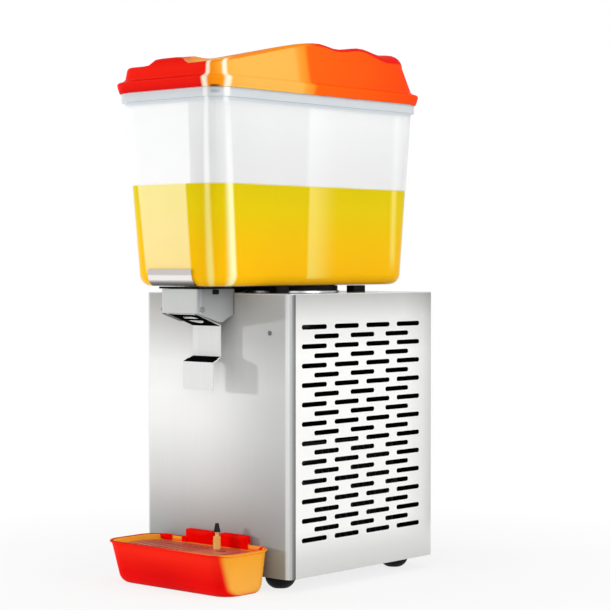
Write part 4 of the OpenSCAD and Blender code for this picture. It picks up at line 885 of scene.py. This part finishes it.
def tray_plastic():
    """The same moulding on the tray, with its light painted in: red bow as in shade, pale orange ends as lit,
    amber inside as lit, painted light on the rim's top and the tabs.
    """
    s = Shader("tray_red", Coat_Weight=0.12, Coat_Roughness=0.1, IOR=1.5, Specular_IOR_Level=0.0)
    x, y, z = s.place()
    nx, ny, nz = s.facing()
    # The bow painted red as in shade
    red = s.tones(z, [(0.0, "FA0000"), (0.018, "F00200"), (0.034, "F81604"), (0.046, "FF2610"),
                      (0.056, "FF2008")])
    dark = s.both(s.span(z, 0.048, 0.012), s.band(x, -0.030, 0.030, 0.040), 0.6)
    red = s.mix(dark, red, lin("DA0000"))
    # The ends painted pale orange as lit
    pale = s.tones(z, [(0.0, "FDB84C"), (0.028, "FBB040"), (0.056, "F8A62A")])
    slant = s.span(z, 0.0, 0.056, -0.16, 0.14, soft=False)
    end = s.span(s.math("ADD", s.math("ADD", nx, s.math("MULTIPLY", ny, 0.2)), slant), 0.40, 0.74)
    col = s.mix(end, red, pale)
    # Inside: amber, painted light
    inward = s.math("ADD", s.both(x, nx), s.both(s.math("SUBTRACT", y, TRAY_MID_Y * MM), ny))
    inner = s.both(s.span(inward, -0.004, -0.012), s.span(z, 0.010, 0.020))
    col = s.mix(inner, col, s.mix(s.span(x, -0.100, 0.0), lin("FFB034"), lin("FFA63C")))
    # The rim's top and the tabs: painted light
    rim = s.both(s.span(nz, 0.35, 0.8), s.band(z, 0.0535, 0.0575, 0.0006))
    col = s.mix(rim, col, s.mix(s.span(x, -0.02, 0.09), lin("D02010"), lin("F0803A")))
    plate = s.both(s.band(y, -0.1202, -0.1180, 0.0002), s.span(z, 0.0490, 0.0500))
    tab = s.either(s.span(z, 0.0568, 0.0576), plate)
    col = s.mix(tab, col, lin("F80400"))
    s.link(s.flecked(col, s.noise(12.0), grey(0.96), weak=0.25), "Base Color")
    s.rough(s.noise(60.0), 0.28, 0.38)
    s.bump(s.noise(600.0, 2.0), 0.12, 0.00003)
    return s.mat


def clear_plastic():
    """Clear tank wall: thin, hazier towards its lip, with painted reflections: a whiter pane at the front,
    pale bands along the side and highlight streaks on the front right corner.
    """
    s = Shader("tank_clear", Roughness=0.04, IOR=1.45, Specular_IOR_Level=0.1)
    pane_x, pane_edge = 0.0405, 0.0015
    x, y, z = s.place()
    nx, ny, _ = s.facing()
    turn = s.turn()
    front = s.both(s.span(ny, -0.4, -0.8), s.under(y, -0.12))
    right = s.both(s.span(nx, 0.3, 0.7), s.over(x, 0.05))
    left = s.both(s.span(nx, -0.3, -0.7), s.under(x, -0.05))
    rear = s.both(s.span(ny, 0.4, 0.8), s.over(y, 0.12))
    # Painted reflections: pale bands along the wall, a whiter pane at the front, highlight streaks on the
    # corner
    wall = s.tones(y, [(-0.205, "E8E9E9"), (-0.100, "EEEFEF"), (-0.030, "EDEEEE"), (-0.022, "F9FAFA"),
                       (0.030, "F2F3F3"), (0.145, "EFF0F0"), (0.156, "F9FAFA"), (0.170, "EEEFF0"),
                       (0.204, "EAEBEC")])
    wall = s.mix(1.0, wall, s.levels(z, [(0.515, 0.88), (0.560, 0.93), (0.605, 1.0)]), "MULTIPLY")
    pane = s.both(front, s.span(x, pane_x + pane_edge, pane_x - pane_edge))
    wall = s.mix(pane, wall, lin("F9FAFA"))
    bright = s.streak(s.leaning(turn), *LEAN_WALL)
    wall = s.mix(bright, wall, grey(1.0))
    wall = s.mix(s.streak(turn, *WALL_STREAK), wall, lin("F3F4F4"))
    # The lip's band, with painted shade, the painted shadow of the gap under the lid's rim, and painted
    # highlight streaks
    lip = s.span(z, 0.616, 0.623)
    shade = s.both(right, s.span(z, 0.6330, 0.6350), 0.7)
    gap_shadow = s.both(s.streak(turn, *GAP_SHADOW), s.band(z, 0.6295, 0.6325, 0.0025), 0.7)
    band = s.mix(shade, lin("D2D8DC"), lin("B2B8C0"))
    band = s.mix(gap_shadow, band, lin("77747A"))
    band = s.mix(s.either(bright, s.streak(turn, *LIP_STREAK)), band, lin("F6F8F8"))
    s.link(s.flecked(s.mix(lip, wall, band), s.noise(6.0), grey(0.98)), "Base Color")
    edge_on = s.node("ShaderNodeLayerWeight", {"Blend": 0.25}).outputs["Facing"]
    thin = s.span(edge_on, 0.3, 1.0, 0.005, 0.30)
    haze = s.both(s.either(front, right), s.span(z, 0.517, 0.605, 0.60, 0.85))
    haze = s.either(haze, s.both(s.either(left, rear), 0.45))
    haze = s.both(haze, s.span(z, 0.5165, 0.5190))
    s.link(s.math("ADD", s.math("ADD", thin, haze), s.both(lip, 0.35), clamp=True), "Alpha")
    return s.mat


def juice_liquid():
    """Juice: yellow-green near its level, warm amber at the foot, with painted reflections: paler behind the
    flat front wall, pale bands along the side, highlight streaks at the front right corner.
    """
    s = Shader("juice", Roughness=0.07, IOR=1.35, Specular_IOR_Level=0.05)
    x, y, z = s.place()
    nx, ny, _ = s.facing()
    turn = s.turn()
    col = s.tones(z, [(0.3875, "FFBE00"), (0.418, "FDC000"), (0.446, "F6C300"), (0.466, "EFC600"),
                      (0.486, "E8CA00"), (0.518, "DFC700")])
    # Painted reflection on the flat front wall
    front_reflection = s.tones(z, [(0.3875, "FFE294"), (0.450, "FEE89E"), (0.518, "FAEC9A")])
    pane = s.math("SUBTRACT", x, s.span(z, 0.405, 0.512, 0.037, 0.0315, soft=False))
    flat = s.both(s.span(ny, -0.985, -0.997), s.span(z, 0.400, 0.412), s.span(pane, 0.0012, -0.0012))
    col = s.mix(flat, col, front_reflection)
    # Painted reflections along the side, and painted highlight streaks at the front right corner
    sheen = s.both(s.span(y, -0.023, -0.019), s.span(y, 0.040, -0.022))
    edge = s.both(s.band(y, 0.150, 0.160, 0.004), s.span(z, 0.400, 0.430))
    side = s.both(s.either(sheen, edge), s.span(nx, 0.85, 0.95), 0.75)
    col = s.mix(side, col, lin("FBE26A"))
    col = s.mix(s.both(s.streak(s.leaning(turn), *LEAN_JUICE), 0.85), col, lin("FEEC84"))
    col = s.mix(s.streak(turn, *JUICE_STREAK), col, lin("FEFBBA"))
    pulp = s.noise(18.0, 5.0, (1.0, 1.0, 0.5))
    s.link(s.flecked(col, pulp, (0.975, 0.97, 0.92), weak=0.25), "Base Color")
    return s.mat


RUBBER = (0.004, 0.004, 0.0045)
VENT_SHADE_BLACK = (0.004, 0.004, 0.004)
MATERIALS = {
    "front_steel": front_steel(),
    "side_steel": side_steel(),
    "deck_steel": deck_steel(),
    "galvanised": metal("galvanised", lin("8E9193"), rough=0.5, metallic=0.6, amount=0.10),
    "rubber_black": plastic("rubber_black", RUBBER, rough=0.6, amount=0.2, grain=500.0, depth=0.00008,
                            gloss=0.12),
    "bright_steel": metal("bright_steel", lin("A8AAAC"), rough=0.28, metallic=0.9, amount=0.04),
    "lever_steel": lever_steel(),
    "dome_steel": metal("dome_steel", lin("C4C7CA"), rough=0.3, metallic=1.0, amount=0.04, brush=BRUSH_ROUND),
    "stirrer_white": plastic("stirrer_white", lin("EDEDE8"), rough=0.3),
    "magnet_dark": plastic("magnet_dark", (0.03, 0.03, 0.032), rough=0.5),
    "motor_dark": metal("motor_dark", (0.012, 0.012, 0.014), rough=0.5, metallic=0.2, amount=0.15),
    "compressor_black": metal("compressor_black", (0.008, 0.008, 0.009), rough=0.4, metallic=0.1,
                              amount=0.15),
    "condenser_metal": metal("condenser_metal", (0.02, 0.021, 0.023), rough=0.55, metallic=0.3, amount=0.2),
    "fan_black": plastic("fan_black", (0.006, 0.006, 0.007), rough=0.5, gloss=0.15),
    # Thermostat: its part inside the cabinet painted near black as shade
    "thermostat_cream": split_plastic("thermostat_cream", 1, CAB_BACK - 0.6, INSIDE_SHADE, lin("D9D4C4")),
    "knob_black": knob_plastic(),
    "switch_black": plastic("switch_black", (0.013, 0.013, 0.014), rough=0.42, amount=0.15),
    "rocker_green": plastic("rocker_green", lin("2E8B3D"), rough=0.25, amount=0.08, coat=0.4),
    "rocker_red": plastic("rocker_red", lin("B52018"), rough=0.25, amount=0.08, coat=0.4),
    "tank_clear": clear_plastic(),
    "trim_silver": trim_silver(),
    # Valve: its end inside the hood painted near black as shade
    "valve_white": split_plastic("valve_white", 2, TANK_Z - 3.0, INSIDE_SHADE, lin("E6E6E2")),
    "spring_steel": metal("spring_steel", lin("B8BABB"), rough=0.3, metallic=1.0, amount=0.06),
    "lid_red": lid_plastic(),
    "tray_red": tray_plastic(),
    "grille_red": plastic("grille_red", lin("C4604A"), rough=0.4, amount=0.1),
    "float_amber": plastic("float_amber", lin("F3C26A"), rough=0.25, coat=0.5),
    "float_black": plastic("float_black", (0.006, 0.007, 0.008), rough=0.4, amount=0.15, gloss=0.15),
}
# Nodes that are darker than the rest of their slot; the plunger is painted near black as shade under the hood
OWN_METAL = {
    "panel_screws": metal("screw_steel", lin("6A6C6E"), rough=0.35, metallic=0.5, amount=0.06),
    "valve_plunger": metal("plunger_shade_steel", (0.010, 0.010, 0.011), rough=0.5, metallic=0.1, amount=0.06),
}


# The part: its nodes in their materials, then the pieces that are remade or added

def dress(ob, slot):
    ob.data.materials.clear()
    ob.data.materials.append(MATERIALS[slot])


for sub in frame["record"]["subparts"]:
    ob = NODES[sub["node"]]
    material = OWN_METAL.get(sub["node"], MATERIALS[sub["material_slot"]])
    for slot in ob.material_slots:
        slot.material = material
    if not ob.material_slots:
        ob.data.materials.append(material)

lid = build_lid()
dress(lid, "lid_red")
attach(lid, "lid")
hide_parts("lid")

tank = build_tank()
dress(tank, "tank_clear")
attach(tank, "tank")
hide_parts("tank")

juice = build_juice()
juice.data.materials.append(juice_liquid())
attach(juice, "tank")

tray = build_tray()
dress(tray, "tray_red")
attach(tray, "drip_tray")
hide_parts("drip_tray")

coil = build_coil()
dress(coil, "spring_steel")
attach(coil, "tank")
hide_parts("plunger_spring")
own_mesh(coil)

# Black pieces put in as painted shade for gaps round the tap and under the tank
valve_shade = build_valve_shade()
cheek_shade = build_cheek_shade()
deck_shade = build_deck_shade()
for piece, body in ((valve_shade, "tank"), (cheek_shade, "chassis"), (deck_shade, "chassis")):
    dress(piece, "rubber_black")
    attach(piece, body)

# Black pads behind the vents: dark sheets as painted shade
left_vent_shade = build_vent_shade("left_vent_shade", LEFT_PAD, lambda u, v, d: (LEFT_PAD_X + d, LEFT_PAD_Y + u, v))
rear_vent_shade = build_vent_shade("rear_vent_shade", REAR_PAD, lambda u, v, d: (u, REAR_PAD_Y - d, v))
vent_shade = plastic("vent_shade_black", VENT_SHADE_BLACK, rough=0.85, amount=0.3, grain=350.0, depth=0.0004, gloss=0.1)
for pad in (left_vent_shade, rear_vent_shade):
    pad.data.materials.append(vent_shade)
    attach(pad, "chassis")


# Studio: a pale floor that fades to the white backdrop, soft lamps

WHITE = (1.0, 1.0, 1.0, 1.0)
FLOOR_HALF = 6.0
FLOOR_GREY = (0.86, 0.86, 0.86, 1.0)
FADE_FROM, FADE_TO, NEAR_WHITE = 0.25, 0.75, 0.80
WORLD_LIGHT = 0.46
# Name, place, target, size, power, and whether reflections show it
LAMPS = (
    ("key", (-1.90, -1.39, 0.44), (0.0, -0.11, 0.32), 0.14, 26.0, False),
    ("right_fill", (2.6, 0.2, 0.9), (0.0, 0.05, 0.40), 1.6, 26.0, True),
    ("corner_fill", (1.6, -1.9, 1.0), (0.0, -0.1, 0.40), 1.2, 9.0, True),
    ("top_fill", (0.3, -0.4, 2.6), (0.0, 0.0, 0.4), 1.6, 12.0, True),
)
CAM_SENSOR, CAM_LENS = 36.0, 111.98
CAM_PLACE, CAM_VIEW = (1.72840, -1.88488, 0.41757), (-0.662838, 0.748439, -0.022042)


def seen_rays(tree):
    """1 for rays that show the studio: from the camera, through something clear, or in a reflection."""
    rays = add_node(tree, "ShaderNodeLightPath").outputs
    seen = rays["Is Camera Ray"]
    for kind in ("Is Transmission Ray", "Is Glossy Ray"):
        seen = add_node(tree, "ShaderNodeMath", {0: seen, 1: rays[kind]}, operation="MAXIMUM").outputs[0]
    return seen


def floor_material():
    """White backdrop from a step away; close by, part of the floor's own grey keeps the object's shadow."""
    m = bpy.data.materials.new("studio_floor")
    m.use_nodes = True
    t = m.node_tree
    t.nodes.clear()
    place = add_node(t, "ShaderNodeTexCoord").outputs["Object"]
    reach = add_node(t, "ShaderNodeVectorMath", {0: place}, operation="LENGTH").outputs["Value"]
    fade = add_node(t, "ShaderNodeMapRange", {"Value": reach, "From Min": FADE_FROM, "From Max": FADE_TO,
                                              "To Min": NEAR_WHITE, "To Max": 1.0}).outputs["Result"]
    white = add_node(t, "ShaderNodeMath", {0: seen_rays(t), 1: fade}, operation="MULTIPLY").outputs[0]
    plain = add_node(t, "ShaderNodeBsdfDiffuse", {"Color": FLOOR_GREY}).outputs[0]
    glow = add_node(t, "ShaderNodeEmission", {"Color": WHITE}).outputs[0]
    surface = add_node(t, "ShaderNodeMixShader", {0: white, 1: plain, 2: glow}).outputs[0]
    add_node(t, "ShaderNodeOutputMaterial", {"Surface": surface})
    return m


def build_floor():
    corners = [(-FLOOR_HALF, -FLOOR_HALF, 0), (FLOOR_HALF, -FLOOR_HALF, 0),
               (FLOOR_HALF, FLOOR_HALF, 0), (-FLOOR_HALF, FLOOR_HALF, 0)]
    me = bpy.data.meshes.new("studio_floor")
    me.from_pydata(corners, [], [(0, 1, 2, 3)])
    me.materials.append(floor_material())
    return put("studio_floor", me)


def build_world():
    """White to look at, but a plain, lower level of light on the object."""
    world = bpy.data.worlds.new("studio")
    world.use_nodes = True
    t = world.node_tree
    back = t.nodes["Background"]
    back.inputs["Color"].default_value = WHITE
    level = add_node(t, "ShaderNodeMapRange", {"Value": seen_rays(t), "To Min": WORLD_LIGHT, "To Max": 1.0})
    t.links.new(level.outputs["Result"], back.inputs["Strength"])
    return world


def aim(ob, place, direction):
    ob.location = place
    ob.rotation_euler = direction.to_track_quat("-Z", "Y").to_euler()


floor = build_floor()
bpy.context.scene.world = build_world()

for name, place, target, size, power, shows in LAMPS:
    data = bpy.data.lights.new(name, "AREA")
    data.size = size
    data.energy = power
    lamp = put(name, data)
    aim(lamp, place, Vector(target) - Vector(place))
    lamp.visible_glossy = shows

cam_data = bpy.data.cameras.new("camera")
cam_data.sensor_width = CAM_SENSOR
cam_data.lens = CAM_LENS
cam = put("camera", cam_data)
aim(cam, CAM_PLACE, Vector(CAM_VIEW))
bpy.context.scene.camera = cam

bpy.context.scene.view_settings.view_transform = "Standard"
